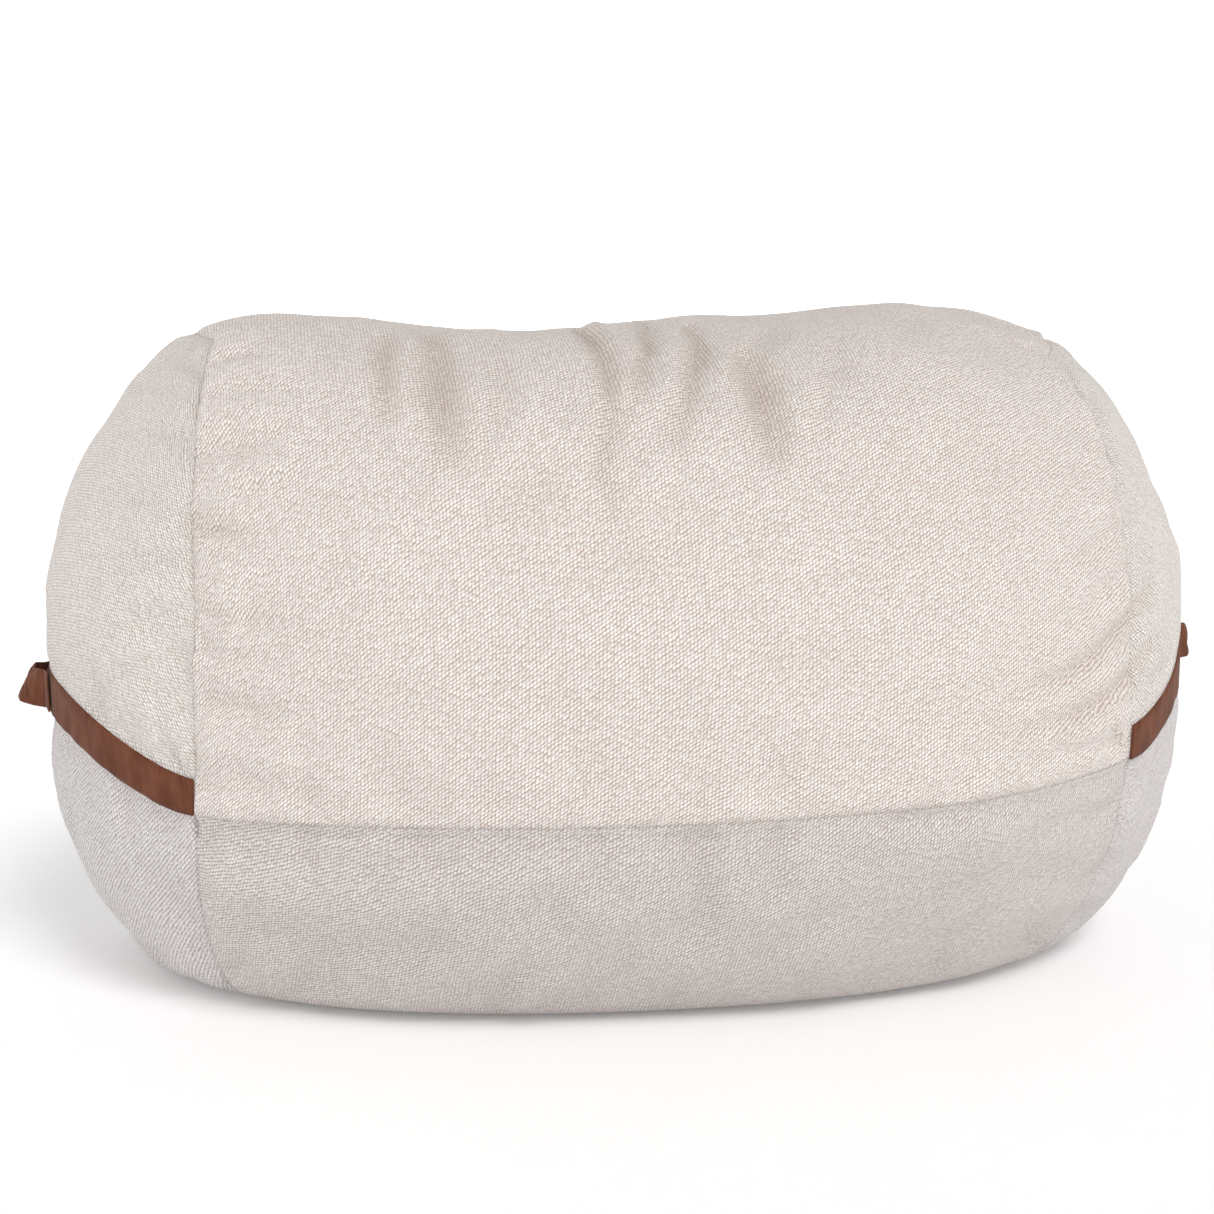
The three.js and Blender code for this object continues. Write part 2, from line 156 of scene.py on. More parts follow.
# ------------------------------------------------------------------ the grid, shared by every panel
NX, NY, NL, NB, NU = 168, 112, 36, 8, 60


def dense_ends(n, a):
    s = np.linspace(0, 1, n + 1)
    return s - a * np.sin(2 * np.pi * s) / (2 * np.pi)


TX, TY = np.linspace(-1, 1, NX + 1), np.linspace(-1, 1, NY + 1)
TX, TY = 0.88 * TX + 0.12 * TX ** 3, 0.88 * TY + 0.12 * TY ** 3


def wall(face):
    t = TX if face in ("front", "back") else TY
    s, b = level(face, t, seam_z(face, t)), level(face, t, seam_z(face, t) + band_h(t))
    w = np.concatenate([
        -1 + (s[:, None] + 1) * dense_ends(NL, 0.45)[None, :-1],
        s[:, None] + (b - s)[:, None] * np.linspace(0, 1, NB + 1)[None, :-1],
        b[:, None] + (1 - b)[:, None] * dense_ends(NU, 0.35)[None, :]], 1)
    return on(face, t[:, None], w)


Q = {f: wall(f) for f in ("front", "back", "left", "right")}
Q["top"] = on("top", TX[:, None], TY[None, :])
Q["base"] = on("base", TX[:, None], TY[None, :])
flat = np.concatenate([Q[f].reshape(-1, 3) for f in Q])
_, first, back_to = np.unique(np.round(flat, 7), axis=0, return_index=True, return_inverse=True)
back_to = back_to.reshape(-1)
ID, at = {}, 0
for f in Q:
    n = Q[f].shape[0] * Q[f].shape[1]
    ID[f] = back_to[at:at + n].reshape(Q[f].shape[:2])
    at += n
QV = flat[first]
BASE = surf(QV)
NRM = normal(QV)
NV = len(QV)
S0 = NL  # the seam's row
S1 = NL + NB  # the band's upper row

PANELS = {
    "main_panel": np.concatenate([ID["front"][:, S0:], ID["top"][:, 1:-1], ID["back"][:, S0:][:, ::-1]], 1),
    "left_end_panel": ID["left"][:, S1:],
    "right_end_panel": ID["right"][:, S1:],
    "front_lower_panel": ID["front"][:, :S0 + 1],
    "back_lower_panel": ID["back"][:, :S0 + 1],
    "left_lower_panel": ID["left"][:, :S0 + 1],
    "right_lower_panel": ID["right"][:, :S0 + 1],
    "base_front_panel": ID["base"][:, :NY // 2 + 1],
    "base_rear_panel": ID["base"][:, NY // 2:],
    "left_band": ID["left"][:, S0:S1 + 1],
    "right_band": ID["right"][:, S0:S1 + 1],
}


def arcs(P):
    """Arc lengths over a grid of points: along i from its first row, and along j from its first column."""
    di = np.linalg.norm(np.diff(P, axis=0), axis=-1)
    dj = np.linalg.norm(np.diff(P, axis=1), axis=-1)
    u = np.concatenate([np.zeros((1, P.shape[1])), np.cumsum(di, 0)])
    v = np.concatenate([np.zeros((P.shape[0], 1)), np.cumsum(dj, 1)], 1)
    return u, v


WEAVE_UV, DS, FOOT_AT = {}, np.full(NV, 9.0), BASE.copy()
for name, ids in PANELS.items():
    P = BASE[ids]
    u, v = arcs(P)
    j0 = {"main_panel": 30}.get(name, ids.shape[1] // 2)
    i0 = ids.shape[0] // 2
    WEAVE_UV[name] = np.stack([(u - u[i0:i0 + 1]) * (-1 if "left" in name else 1), v - v[:, j0:j0 + 1]], -1)
    if "band" in name:
        continue
    sides = [(u, np.broadcast_to(P[:1], P.shape)), (u[-1:] - u, np.broadcast_to(P[-1:], P.shape)),
             (v, np.broadcast_to(P[:, :1], P.shape)), (v[:, -1:] - v, np.broadcast_to(P[:, -1:], P.shape))]
    for k, (d, foot) in enumerate(sides):
        d, foot, flat_ids = d.reshape(-1), foot.reshape(-1, 3), ids.reshape(-1)
        better = d < DS[flat_ids]
        DS[flat_ids[better]] = d[better]
        FOOT_AT[flat_ids[better]] = foot[better]


def field(seed, wavelength, P, n=24, spread=0.35):
    """A smooth random field of about unit size: a fixed sum of waves."""
    r = np.random.RandomState(seed)
    d = unit(r.normal(size=(n, 3)))
    k = 2 * np.pi / (wavelength * (1 + spread * r.uniform(-1, 1, n)))
    ph = r.uniform(0, 2 * np.pi, n)
    return np.sin((P @ d.T) * k + ph).sum(1) / math.sqrt(n / 2)


# ------------------------------------------------------------------ folds and seams
def along(points, P):
    """Distance from a line of points, and how far along it, 0 to 1."""
    pts = np.array(points, float)
    best, where = np.full(len(P), 1e9), np.zeros(len(P))
    seg = np.linalg.norm(np.diff(pts, axis=0), axis=1)
    total, done = seg.sum(), 0
    for a, b, l in zip(pts[:-1], pts[1:], seg):
        k = np.clip(((P - a) @ (b - a)) / (l * l), 0, 1)
        d = np.linalg.norm(P - (a + k[:, None] * (b - a)), axis=1)
        m = d < best
        best[m], where[m] = d[m], ((done + k * l) / total)[m]
        done += l
    return best, where


# (a line on the cover, half width, depth; all in mm, a negative depth is a ridge)
FOLDS = [
    ([(-324, -196, 758), (-332, -297, 717), (-329, -365, 665)], 10, 8),
    ([(-306, -218, 752), (-312, -320, 706), (-309, -379, 658)], 10, -4),
    ([(-270, -197, 758), (-275, -329, 707), (-274, -385, 663), (-266, -419, 627)], 15, 12),
    ([(-220, -137, 767), (-237, -353, 696), (-250, -409, 644)], 12, -5),
    ([(-203, -251, 746), (-210, -373, 686), (-224, -415, 645)], 9, 6),
    ([(-172, -273, 740), (-178, -404, 664)], 15, -4),
    ([(-93, -74, 770), (-98, -224, 755), (-96, -340, 715), (-104, -416, 660), (-119, -446, 624), (-113, -472, 585)], 9, 11),
    ([(-78, -82, 770), (-78, -262, 746), (-73, -358, 706), (-81, -422, 655)], 9, -6),
    ([(-20, -126, 770), (-40, -285, 740), (-71, -382, 691), (-85, -412, 665)], 7, 7),
    ([(5, -172, 767), (-22, -330, 723), (-54, -402, 675)], 9, -5),
    ([(28, -173, 768), (17, -289, 741), (-15, -389, 687), (-39, -434, 644)], 8, 7),
    ([(49, -276, 747), (21, -390, 686), (2, -435, 643)], 11, -4),
    ([(70, -300, 739), (67, -376, 697), (64, -420, 658), (71, -438, 638)], 16, 12),
    ([(127, -321, 730), (106, -400, 675), (80, -449, 624)], 13, -5),
    ([(177, -283, 747), (139, -386, 686), (106, -441, 631)], 10, 4.5),
    ([(-293, -424, 610), (-206, -451, 600), (-103, -463, 600)], 25, 4),
    ([(-16, -457, 615), (88, -462, 603), (178, -445, 613)], 25, 3),
    ([(-394, -380, 615), (-286, -442, 584), (-165, -475, 567)], 20, -3),
    ([(550, -301, 465), (485, -373, 427), (422, -420, 394), (330, -468, 374)], 9, 8.5),
    ([(560, -295, 440), (501, -359, 397), (436, -410, 366)], 8, -5.3),
    ([(566, -291, 406), (499, -360, 370), (418, -419, 341), (320, -469, 332)], 9, 7.5),
    ([(548, -291, 506), (468, -377, 474), (399, -431, 445)], 11, 6.4),
    ([(515, -311, 542), (447, -379, 521), (376, -427, 512)], 10, 5.3),
    ([(515, -290, 583), (456, -329, 608), (386, -369, 619)], 9, 5.9),
    ([(510, -277, 613), (461, -298, 645), (392, -335, 658)], 8, 4.8),
    ([(517, -281, 595), (454, -316, 628), (399, -350, 634)], 7, -4.2),
    ([(515, -338, 297), (422, -412, 301), (309, -468, 299)], 8, 4.2),
    ([(549, -309, 350), (605, -238, 382)], 8, 4.2),
    ([(526, -332, 336), (452, -395, 322), (375, -442, 316)], 7, -4.2),
    ([(546, -313, 377), (479, -376, 349), (404, -428, 333)], 6, -3.2),
    ([(-534, -269, 629), (-487, -304, 637), (-424, -338, 647)], 9, 6.1),
    ([(-536, -281, 611), (-476, -334, 608), (-394, -380, 615)], 8, -4.4),
    ([(-539, -297, 582), (-486, -341, 587), (-426, -370, 605)], 8, 5.5),
    ([(-546, -303, 561), (-522, -331, 552), (-482, -364, 550)], 7, 8.8),
    ([(-540, -324, 533), (-498, -364, 522), (-436, -406, 522)], 9, -3.9),
    ([(-544, -331, 504), (-499, -375, 488), (-443, -412, 492)], 8, 4.4),
    ([(-548, -339, 470), (-499, -383, 457), (-428, -430, 456)], 8, 6.6),
    ([(-547, -347, 435), (-505, -385, 419), (-449, -423, 418)], 7, 5.5),
    ([(-547, -348, 381), (-501, -386, 364), (-429, -433, 357)], 9, 5.5),
    ([(-545, -350, 406), (-490, -396, 388), (-409, -445, 386)], 8, -3.9),
    ([(-522, -366, 325), (-450, -415, 307), (-350, -463, 305)], 12, -3.3),
    ([(-548, -318, 526), (-584, -282, 521), (-631, -224, 510)], 6, 6.6),
    ([(-549, -326, 507), (-585, -288, 504), (-624, -244, 488)], 6, -4.4),
    ([(-548, -339, 465), (-585, -303, 454), (-629, -253, 425)], 9, 5.5),
    ([(-543, -295, 581), (-572, -261, 585), (-613, -214, 573)], 8, 4.9),
    ([(-538, -253, 642), (-560, -216, 654), (-590, -178, 651)], 8, 4.9),
    ([(-546, -349, 424), (-585, -309, 404), (-639, -236, 368)], 9, 4.4),
    ([(-535, -211, 685), (-566, -149, 702), (-589, -92, 709)], 8, 4.4),
    ([(-530, -217, 685), (-486, -248, 694), (-422, -295, 690)], 8, 4.9),
    ([(-524, -158, 729), (-490, -181, 735), (-442, -229, 727)], 7, 4.4),
    ([(-526, -251, 658), (-475, -279, 673), (-412, -325, 668)], 8, -3.3),
    ([(-531, -337, 220), (-472, -376, 205), (-391, -419, 201), (-290, -457, 206), (-208, -479, 218)], 14, 5),
    ([(-531, -319, 171), (-453, -366, 153), (-348, -418, 159)], 15, -4),
    ([(-169, -486, 220), (-44, -495, 223), (82, -496, 233)], 12, 3.5),
    ([(148, -493, 240), (264, -471, 246), (399, -415, 246)], 11, 3.5),
    ([(-216, -340, 16), (-213, -386, 58), (-200, -410, 86)], 10, 6),
    ([(-194, -343, 16), (-180, -383, 49), (-156, -395, 60)], 8, -4),
    ([(-172, -350, 18), (-153, -374, 37)], 7, 5),
    ([(-29, -348, 12), (-28, -400, 59)], 9, 5),
    ([(-345, -319, 25), (-343, -363, 69)], 9, 5),
    ([(127, -331, 8), (119, -390, 54)], 10, 5),
    ([(-432, -284, 29), (-420, -334, 74)], 9, 5),
    ([(307, -291, 11), (267, -374, 70)], 9, 5),
    ([(457, -212, 19), (383, -343, 90)], 9, 5),
    ([(-509, -242, 39), (-490, -302, 86)], 9, 5),
    ([(511, -273, 121), (422, -364, 153), (359, -402, 159)], 8, 4),
    ([(506, -327, 211), (419, -395, 220), (348, -432, 216)], 9, 4),
    ([(-496, -316, 113), (-401, -365, 103), (-285, -406, 103)], 17, 3),
    ([(-120, -442, 119), (9, -445, 118), (144, -439, 122)], 19, 3),
]
d, fold_shade_and_pile = np.zeros(NV), np.zeros(NV)
for line, width, depth in FOLDS:
    dist, k = along(np.array(line) / 1000, BASE)
    size = np.sin(np.pi * np.clip(0.12 + 0.8 * k, 0, 1)) ** 0.7
    shape = size * np.exp(-((dist / (width / 1000)) ** 2))
    d -= depth * 1e-3 * shape
    # Deep grooves also get painted shade: a mask that darkens the cover's colour along them, where its pile is
    # pressed down too.
    if depth >= 7:
        fold_shade_and_pile = np.maximum(fold_shade_and_pile, size * np.exp(-((dist / (width / 1000 * 1.5)) ** 2)))

# Gathers that run from the seams round the back, the ends and the top.
hidden = np.clip(-((np.array(cam.location) - BASE) * NRM).sum(1) / 0.25 + 0.6, 0, 1)
gather = field(11, 0.055, FOOT_AT, 40) * 0.0020 + field(12, 0.11, FOOT_AT, 30) * 0.0024
reach = 0.055 + 0.03 * field(13, 0.2, FOOT_AT, 20)
g = np.exp(-((DS / np.clip(reach, 0.02, 0.11)) ** 2)) * np.clip(DS / 0.012, 0, 1)
d += gather * g * (0.75 + 0.55 * hidden)
# Lumps of the filling.
d += 0.0026 * field(21, 0.26, BASE) + 0.0010 * field(22, 0.10, BASE)
# Long soft creases round the back, where nobody has pressed it flat.
d -= hidden * 0.004 * np.clip(field(23, 0.16, BASE * [1, 1, 2.2], 20) - 0.5, 0, 2)
# Seams: a narrow dip that comes and goes, and the cloth proud beside it.
flat_top = np.clip((NRM[:, 2] - 0.15) / 0.35, 0, 1)
pucker = np.clip(0.55 + 0.50 * field(31, 0.030, FOOT_AT, 30) + 0.45 * field(32, 0.09, FOOT_AT, 20), 0.0, 2)
d += (-0.0016 * pucker * np.exp(-((DS / 0.0060) ** 2)) + 0.0007 * np.exp(-(((DS - 0.020) / 0.014) ** 2))) * (1 - 0.75 * flat_top)
# The upper front hangs a little over the lower one.
ids, dist = PANELS["front_lower_panel"], None
u, v = arcs(BASE[ids])
drop = v[:, -1:] - v
over = 0.45 + 0.55 * np.clip((0.30 - BASE[ids][..., 0]) / 0.65, 0, 1)
under_seam = np.zeros(NV)
under_seam[ids] = over * np.clip(drop / 0.010, 0, 1) * np.exp(-((drop / 0.034) ** 2))
d -= 0.0065 * under_seam
ids = ID["front"][:, S0:]
u, v = arcs(BASE[ids])
lip = np.zeros(NV)
lip[ids] = np.exp(-(((v - 0.012) / 0.011) ** 2)) * (0.5 + 0.5 * np.clip((0.30 - BASE[ids][..., 0]) / 0.65, 0, 1))
d += 0.0030 * lip
BAND = np.zeros(NV, bool)
for side in ("left", "right"):
    BAND[ID[side][:, S0:S1 + 1]] = True
d[BAND] = 0.0012 * field(21, 0.26, BASE[BAND])
under = np.clip((BASE[:, 2] - 0.004) / 0.035, 0, 1)
d *= under
POS = BASE + NRM * d[:, None]


# ------------------------------------------------------------------ cloth
def quads(ids):
    a, b, c, e = ids[:-1, :-1], ids[1:, :-1], ids[1:, 1:], ids[:-1, 1:]
    return np.stack([a, b, c, e], -1).reshape(-1, 4)


def facing_out(faces, P, N):
    c = np.cross(P[faces[:, 1]] - P[faces[:, 0]], P[faces[:, 3]] - P[faces[:, 0]])
    bad = (c * N[faces[:, 0]]).sum(1) < 0
    faces[bad] = faces[bad][:, ::-1]
    return faces


def make_mesh(name, verts, faces, smooth=True):
    me = bpy.data.meshes.new(name)
    me.vertices.add(len(verts))
    me.vertices.foreach_set("co", np.asarray(verts, np.float32).reshape(-1))
    counts = np.array([len(f) for f in faces]) if isinstance(faces, list) else np.full(len(faces), faces.shape[1])
    loops = np.concatenate([np.asarray(f) for f in faces]) if isinstance(faces, list) else faces.reshape(-1)
    me.loops.add(len(loops))
    me.loops.foreach_set("vertex_index", loops.astype(np.int32))
    me.polygons.add(len(counts))
    me.polygons.foreach_set("loop_start", np.concatenate([[0], np.cumsum(counts)[:-1]]).astype(np.int32))
    me.update(calc_edges=True)
    me.validate()
    if smooth:
        me.polygons.foreach_set("use_smooth", np.ones(len(me.polygons), bool))
    return me


def vertex_normals(faces, P):
    n = np.cross(P[faces[:, 2]] - P[faces[:, 0]], P[faces[:, 3]] - P[faces[:, 1]])
    out = np.zeros_like(P)
    for k in range(4):
        np.add.at(out, faces[:, k], n)
    return unit(out)


SLACK = [((-0.02, -0.30, 0.70), (0.32, 0.25, 0.10), 0.9), ((0.60, -0.25, 0.44), (0.14, 0.25, 0.14), 0.7),
         ((-0.58, -0.25, 0.52), (0.16, 0.25, 0.16), 0.6), ((0.58, -0.20, 0.66), (0.12, 0.2, 0.10), 0.5),
         ((-0.66, -0.10, 0.50), (0.10, 0.2, 0.14), 0.4), ((-0.30, -0.45, 0.17), (0.25, 0.1, 0.05), 0.4)]


def simulate(P):
    """The cover as cloth, on every second grid line: the seams are drawn up, the cloth between them is
    slack where it folds, and the filling holds it."""
    ids = {f: ID[f][::2, ::2] for f in ID}
    used, inv = np.unique(np.concatenate([ids[f].reshape(-1) for f in ids]), return_inverse=True)
    small = np.full(NV, -1)
    small[used] = np.arange(len(used))
    faces = np.concatenate([quads(small[ids[f]]) for f in ids])
    p0 = P[used]
    faces = facing_out(faces, p0, NRM[used])
    me = make_mesh("cloth_sim", p0, faces)
    o = bpy.data.objects.new("cloth_sim", me)
    SCENE.collection.objects.link(o)
    slack = np.zeros(len(used))
    # places where the cloth has room to fold: middle and half sizes in metres, and how much
    for at, half, w in SLACK:
        slack = np.maximum(slack, w * np.exp(-((((p0 - at) / half) ** 2).sum(1))))
    slack = np.maximum(slack, 0.55 * hidden[used] * np.exp(-((DS[used] / 0.12) ** 2)))
    seam = np.exp(-((DS[used] / 0.012) ** 2))
    shrink = o.vertex_groups.new(name="shrink")
    hold = o.vertex_groups.new(name="hold")
    s = np.clip(0.5 - 0.5 * slack * (1 - seam) + 0.2 * seam, 0, 1)
    h = np.where((BASE[used, 2] < 0.012) | BAND[used], 1.0, 0.10 + 0.25 * seam)
    for i in range(len(used)):
        shrink.add([i], float(s[i]), "REPLACE")
        hold.add([i], float(h[i]), "REPLACE")
    m = o.modifiers.new("cloth", "CLOTH")
    c = m.settings
    c.quality, c.mass, c.air_damping = 4, 0.15, 2.0
    c.tension_stiffness = c.compression_stiffness = 25
    c.shear_stiffness, c.bending_stiffness = 8, 0.6
    c.tension_damping = c.compression_damping = 10
    c.vertex_group_mass, c.pin_stiffness = "hold", 0.6
    c.vertex_group_shrink, c.shrink_min, c.shrink_max = "shrink", -0.045, 0.045
    c.use_pressure, c.uniform_pressure_force = True, 0.6
    c.effector_weights.gravity = 0
    m.collision_settings.use_collision = False
    m.point_cache.frame_start, m.point_cache.frame_end = 1, 16
    for fr in range(1, 17):
        SCENE.frame_set(fr)
    dep = bpy.context.evaluated_depsgraph_get()
    ev = o.evaluated_get(dep).to_mesh()
    p1 = np.zeros(len(used) * 3, np.float32)
    ev.vertices.foreach_get("co", p1)
    p1 = p1.reshape(-1, 3).astype(float)
    SCENE.frame_set(1)
    bpy.data.objects.remove(o)
    move = p1 - p0
    ea, eb = faces.reshape(-1), np.roll(faces, -1, 1).reshape(-1)
    n = np.bincount(ea, minlength=len(p0)) + 1
    slow = move.copy()
    for _ in range(16):
        slow = np.stack([(slow[:, k] + np.bincount(ea, slow[eb, k], len(p0))) / n for k in range(3)], 1)
    move = (move - 0.92 * slow) * 1.15
    size = np.linalg.norm(move, axis=1, keepdims=True)
    print("cloth: moved mm p50 %.2f p95 %.2f max %.2f" % tuple(1000 * np.percentile(size, [50, 95, 100])))
    size = np.linalg.norm(move, axis=1, keepdims=True)
    print("cloth: folds mm p50 %.2f p95 %.2f max %.2f" % tuple(1000 * np.percentile(size, [50, 95, 100])))
    move *= np.minimum(1, 0.011 / np.maximum(size, 1e-9))
    full = np.zeros((NV, 3))
    count = np.zeros(NV)
    for f in ID:
        g = move[small[ids[f]]]
        up = np.zeros(ID[f].shape + (3,))
        up[::2, ::2] = g
        pad = np.concatenate([2 * g[:1] - g[1:2], g, 2 * g[-1:] - g[-2:-1]], 0)
        up[1::2, ::2] = (9 * (pad[1:-2] + pad[2:-1]) - (pad[:-3] + pad[3:])) / 16
        h2 = up[:, ::2]
        pad = np.concatenate([2 * h2[:, :1] - h2[:, 1:2], h2, 2 * h2[:, -1:] - h2[:, -2:-1]], 1)
        up[:, 1::2] = (9 * (pad[:, 1:-2] + pad[:, 2:-1]) - (pad[:, :-3] + pad[:, 3:])) / 16
        np.add.at(full, ID[f].reshape(-1), up.reshape(-1, 3))
        np.add.at(count, ID[f].reshape(-1), 1)
    return P + full / count[:, None]


ALL = np.concatenate([quads(ID[f]) for f in ID])
ALL = facing_out(ALL, BASE, NRM)
POS = simulate(POS)
rest = (BASE[:, 2] < 0.012) | BAND
POS[rest] = (BASE + NRM * d[:, None])[rest]
POS[:, 2] = np.maximum(POS[:, 2], 0)
N1 = vertex_normals(ALL, POS)
EDGES = np.concatenate([ALL[:, [0, 1]], ALL[:, [1, 2]], ALL[:, [0, 2]], ALL[:, [1, 3]]])


def spread(values, rounds, op=None):
    """Carries a value over the cover's grid: the lowest nearby with np.minimum, or a blur."""
    v = values.copy()
    if op is None:
        n = np.bincount(EDGES.reshape(-1), minlength=NV)
        for _ in range(rounds):
            total = np.bincount(EDGES[:, 0], v[EDGES[:, 1]], NV) + np.bincount(EDGES[:, 1], v[EDGES[:, 0]], NV)
            v = (v + total) / (n + 1)
        return v
    for _ in range(rounds):
        w = v.copy()
        op.at(w, EDGES[:, 0], v[EDGES[:, 1]])
        op.at(w, EDGES[:, 1], v[EDGES[:, 0]])
        v = w
    return v


# Painted shade for the hollows: where the cover lies below its blurred self its colour is darkened, added to the deep
# folds' mask.
OUT = ((POS - BASE) * NRM).sum(1)
hollow = np.clip((spread(OUT, 14) - OUT) / 0.0035, 0, 1)
FOLD_SHADE_AND_PILE = np.clip(0.75 * fold_shade_and_pile + 0.30 * spread(hollow, 2), 0, 1)


# ------------------------------------------------------------------ materials
class Nodes:
    def __init__(self, name):
        self.m = bpy.data.materials.new(name)
        self.m.use_nodes = True
        self.t = self.m.node_tree
        self.bsdf = next(n for n in self.t.nodes if n.type == "BSDF_PRINCIPLED")

    def put(self, node, socket, v):
        if isinstance(v, bpy.types.NodeSocket):
            self.t.links.new(v, node.inputs[socket])
        else:
            node.inputs[socket].default_value = v

    def new(self, kind, inputs=(), out=0, **props):
        n = self.t.nodes.new(kind)
        for k, v in props.items():
            setattr(n, k, v)
        for k, v in dict(inputs).items():
            self.put(n, k, v)
        return n.outputs[out]

    def math(self, op, a, b=0.0, c=0.0, clamp=False):
        return self.new("ShaderNodeMath", {0: a, 1: b, 2: c}, operation=op, use_clamp=clamp)

    def smooth(self, x, lo, hi, a=0.0, b=1.0):
        return self.new("ShaderNodeMapRange", {"Value": x, "From Min": lo, "From Max": hi, "To Min": a, "To Max": b}, interpolation_type="SMOOTHSTEP")

    def mix(self, k, a, b, mode="MIX"):
        n = self.t.nodes.new("ShaderNodeMix")
        n.data_type, n.blend_type = "RGBA", mode
        self.put(n, 0, k)
        self.put(n, 6, a)
        self.put(n, 7, b)
        return n.outputs[2]

    def noise(self, vec, scale, detail=2.0, out=0, rough=0.5):
        return self.new("ShaderNodeTexNoise", {"Vector": vec, "Scale": scale, "Detail": detail, "Roughness": rough}, out=out)

    def xyz(self, x, y, z=0.0):
        return self.new("ShaderNodeCombineXYZ", {0: x, 1: y, 2: z})

    def uv(self, name):
        n = self.t.nodes.new("ShaderNodeUVMap")
        n.uv_map = name
        s = self.t.nodes.new("ShaderNodeSeparateXYZ")
        self.t.links.new(n.outputs[0], s.inputs[0])
        return s.outputs[0], s.outputs[1], n.outputs[0]

    def bump(self, height, strength, distance, normal=None):
        i = {"Height": height, "Strength": strength, "Distance": distance}
        if normal is not None:
            i["Normal"] = normal
        return self.new("ShaderNodeBump", i)

    def finish(self, **sockets):
        for k, v in sockets.items():
            self.put(self.bsdf, k.replace("_", " "), v)
        return self.m


def rgb(r, g, b):
    return (*[((c / 255 + 0.055) / 1.055) ** 2.4 if c > 10 else c / 255 / 12.92 for c in (r, g, b)], 1)


def weave_material(name, yarn, gap, turn=0.0, px=0.0037, py=0.0044, slant=-0.54):
    """Chunky chenille: plump upright stitches, each column stepped from the one beside it."""
    n = Nodes(name)
    u, v, uv = n.uv("weave")
    if turn:
        c, s = math.cos(turn), math.sin(turn)
        u, v = (n.math("MULTIPLY_ADD", u, c, n.math("MULTIPLY", v, -s)), n.math("MULTIPLY_ADD", u, s, n.math("MULTIPLY", v, c)))
    plane = n.xyz(u, v)
    wob = n.noise(plane, 55, 2, out=1)
    ws = n.t.nodes.new("ShaderNodeSeparateXYZ")
    n.t.links.new(wob, ws.inputs[0])
    u = n.math("MULTIPLY_ADD", n.math("SUBTRACT", ws.outputs[0], 0.5), 0.0030, u)
    v = n.math("MULTIPLY_ADD", n.math("SUBTRACT", ws.outputs[1], 0.5), 0.0030, v)
    U = n.math("DIVIDE", u, px)
    col = n.math("FLOOR", U)
    V = n.math("MULTIPLY_ADD", col, slant, n.math("DIVIDE", v, py))
    row = n.math("FLOOR", V)
    cell = n.new("ShaderNodeTexWhiteNoise", {"Vector": n.xyz(col, row)}, out=0, noise_dimensions="2D")
    tint = n.new("ShaderNodeTexWhiteNoise", {"Vector": n.xyz(row, n.math("ADD", col, 31.7))}, out=0, noise_dimensions="2D")
    a = n.math("SUBTRACT", n.math("FRACT", U), n.math("MULTIPLY_ADD", tint, 0.18, 0.41))
    b = n.math("SUBTRACT", n.math("FRACT", V), n.math("MULTIPLY_ADD", cell, 0.30, 0.35))
    lean = n.math("MULTIPLY_ADD", b, -0.48, a)
    r2 = n.math("ADD", n.math("POWER", n.math("MULTIPLY", n.math("ABSOLUTE", lean), 2.0), 2.0), n.math("POWER", n.math("MULTIPLY", n.math("ABSOLUTE", b), 1.9), 2.4))
    size = n.math("MULTIPLY_ADD", tint, 0.45, 0.75)
    plump = n.smooth(n.math("DIVIDE", r2, size), 1.30, 0.20)
    fibre = n.noise(plane, 2600, 3)
    patch = n.noise(plane, 14, 3)
    light = n.math("MULTIPLY_ADD", cell, 0.20, 0.87)
    yarn_c = n.mix(1.0, yarn, n.new("ShaderNodeCombineColor", {0: light, 1: light, 2: light}), "MULTIPLY")
    base = n.mix(plump, gap, yarn_c)
    shade = n.math("MULTIPLY_ADD", patch, 0.10, n.math("MULTIPLY_ADD", fibre, 0.14, 0.88))
    base = n.mix(1.0, base, n.new("ShaderNodeCombineColor", {0: shade, 1: shade, 2: shade}), "MULTIPLY")
    # Painted shade: the weave darkened and browned in the fold grooves and hollows, where the pile is also pressed
    # down.
    fold_shade_and_pile_k = n.new("ShaderNodeAttribute", out=2, attribute_name="fold_shade_and_pile", attribute_type="GEOMETRY")
    base = n.mix(fold_shade_and_pile_k, base, n.mix(1.0, base, (0.885, 0.85, 0.815, 1), "MULTIPLY"))
    height = n.math("MULTIPLY_ADD", fibre, 0.14, n.math("MULTIPLY", plump, n.math("MULTIPLY_ADD", cell, 0.30, 0.80)))
    bump = n.bump(height, 0.8, 0.0011)
    m = n.finish(Base_Color=base, Normal=bump, Roughness=n.math("MULTIPLY_ADD", plump, -0.08, 0.97))
    n.bsdf.inputs["Sheen Weight"].default_value = 0.12
    n.bsdf.inputs["Sheen Roughness"].default_value = 0.5
    n.bsdf.inputs["Specular IOR Level"].default_value = 0.15
    return m


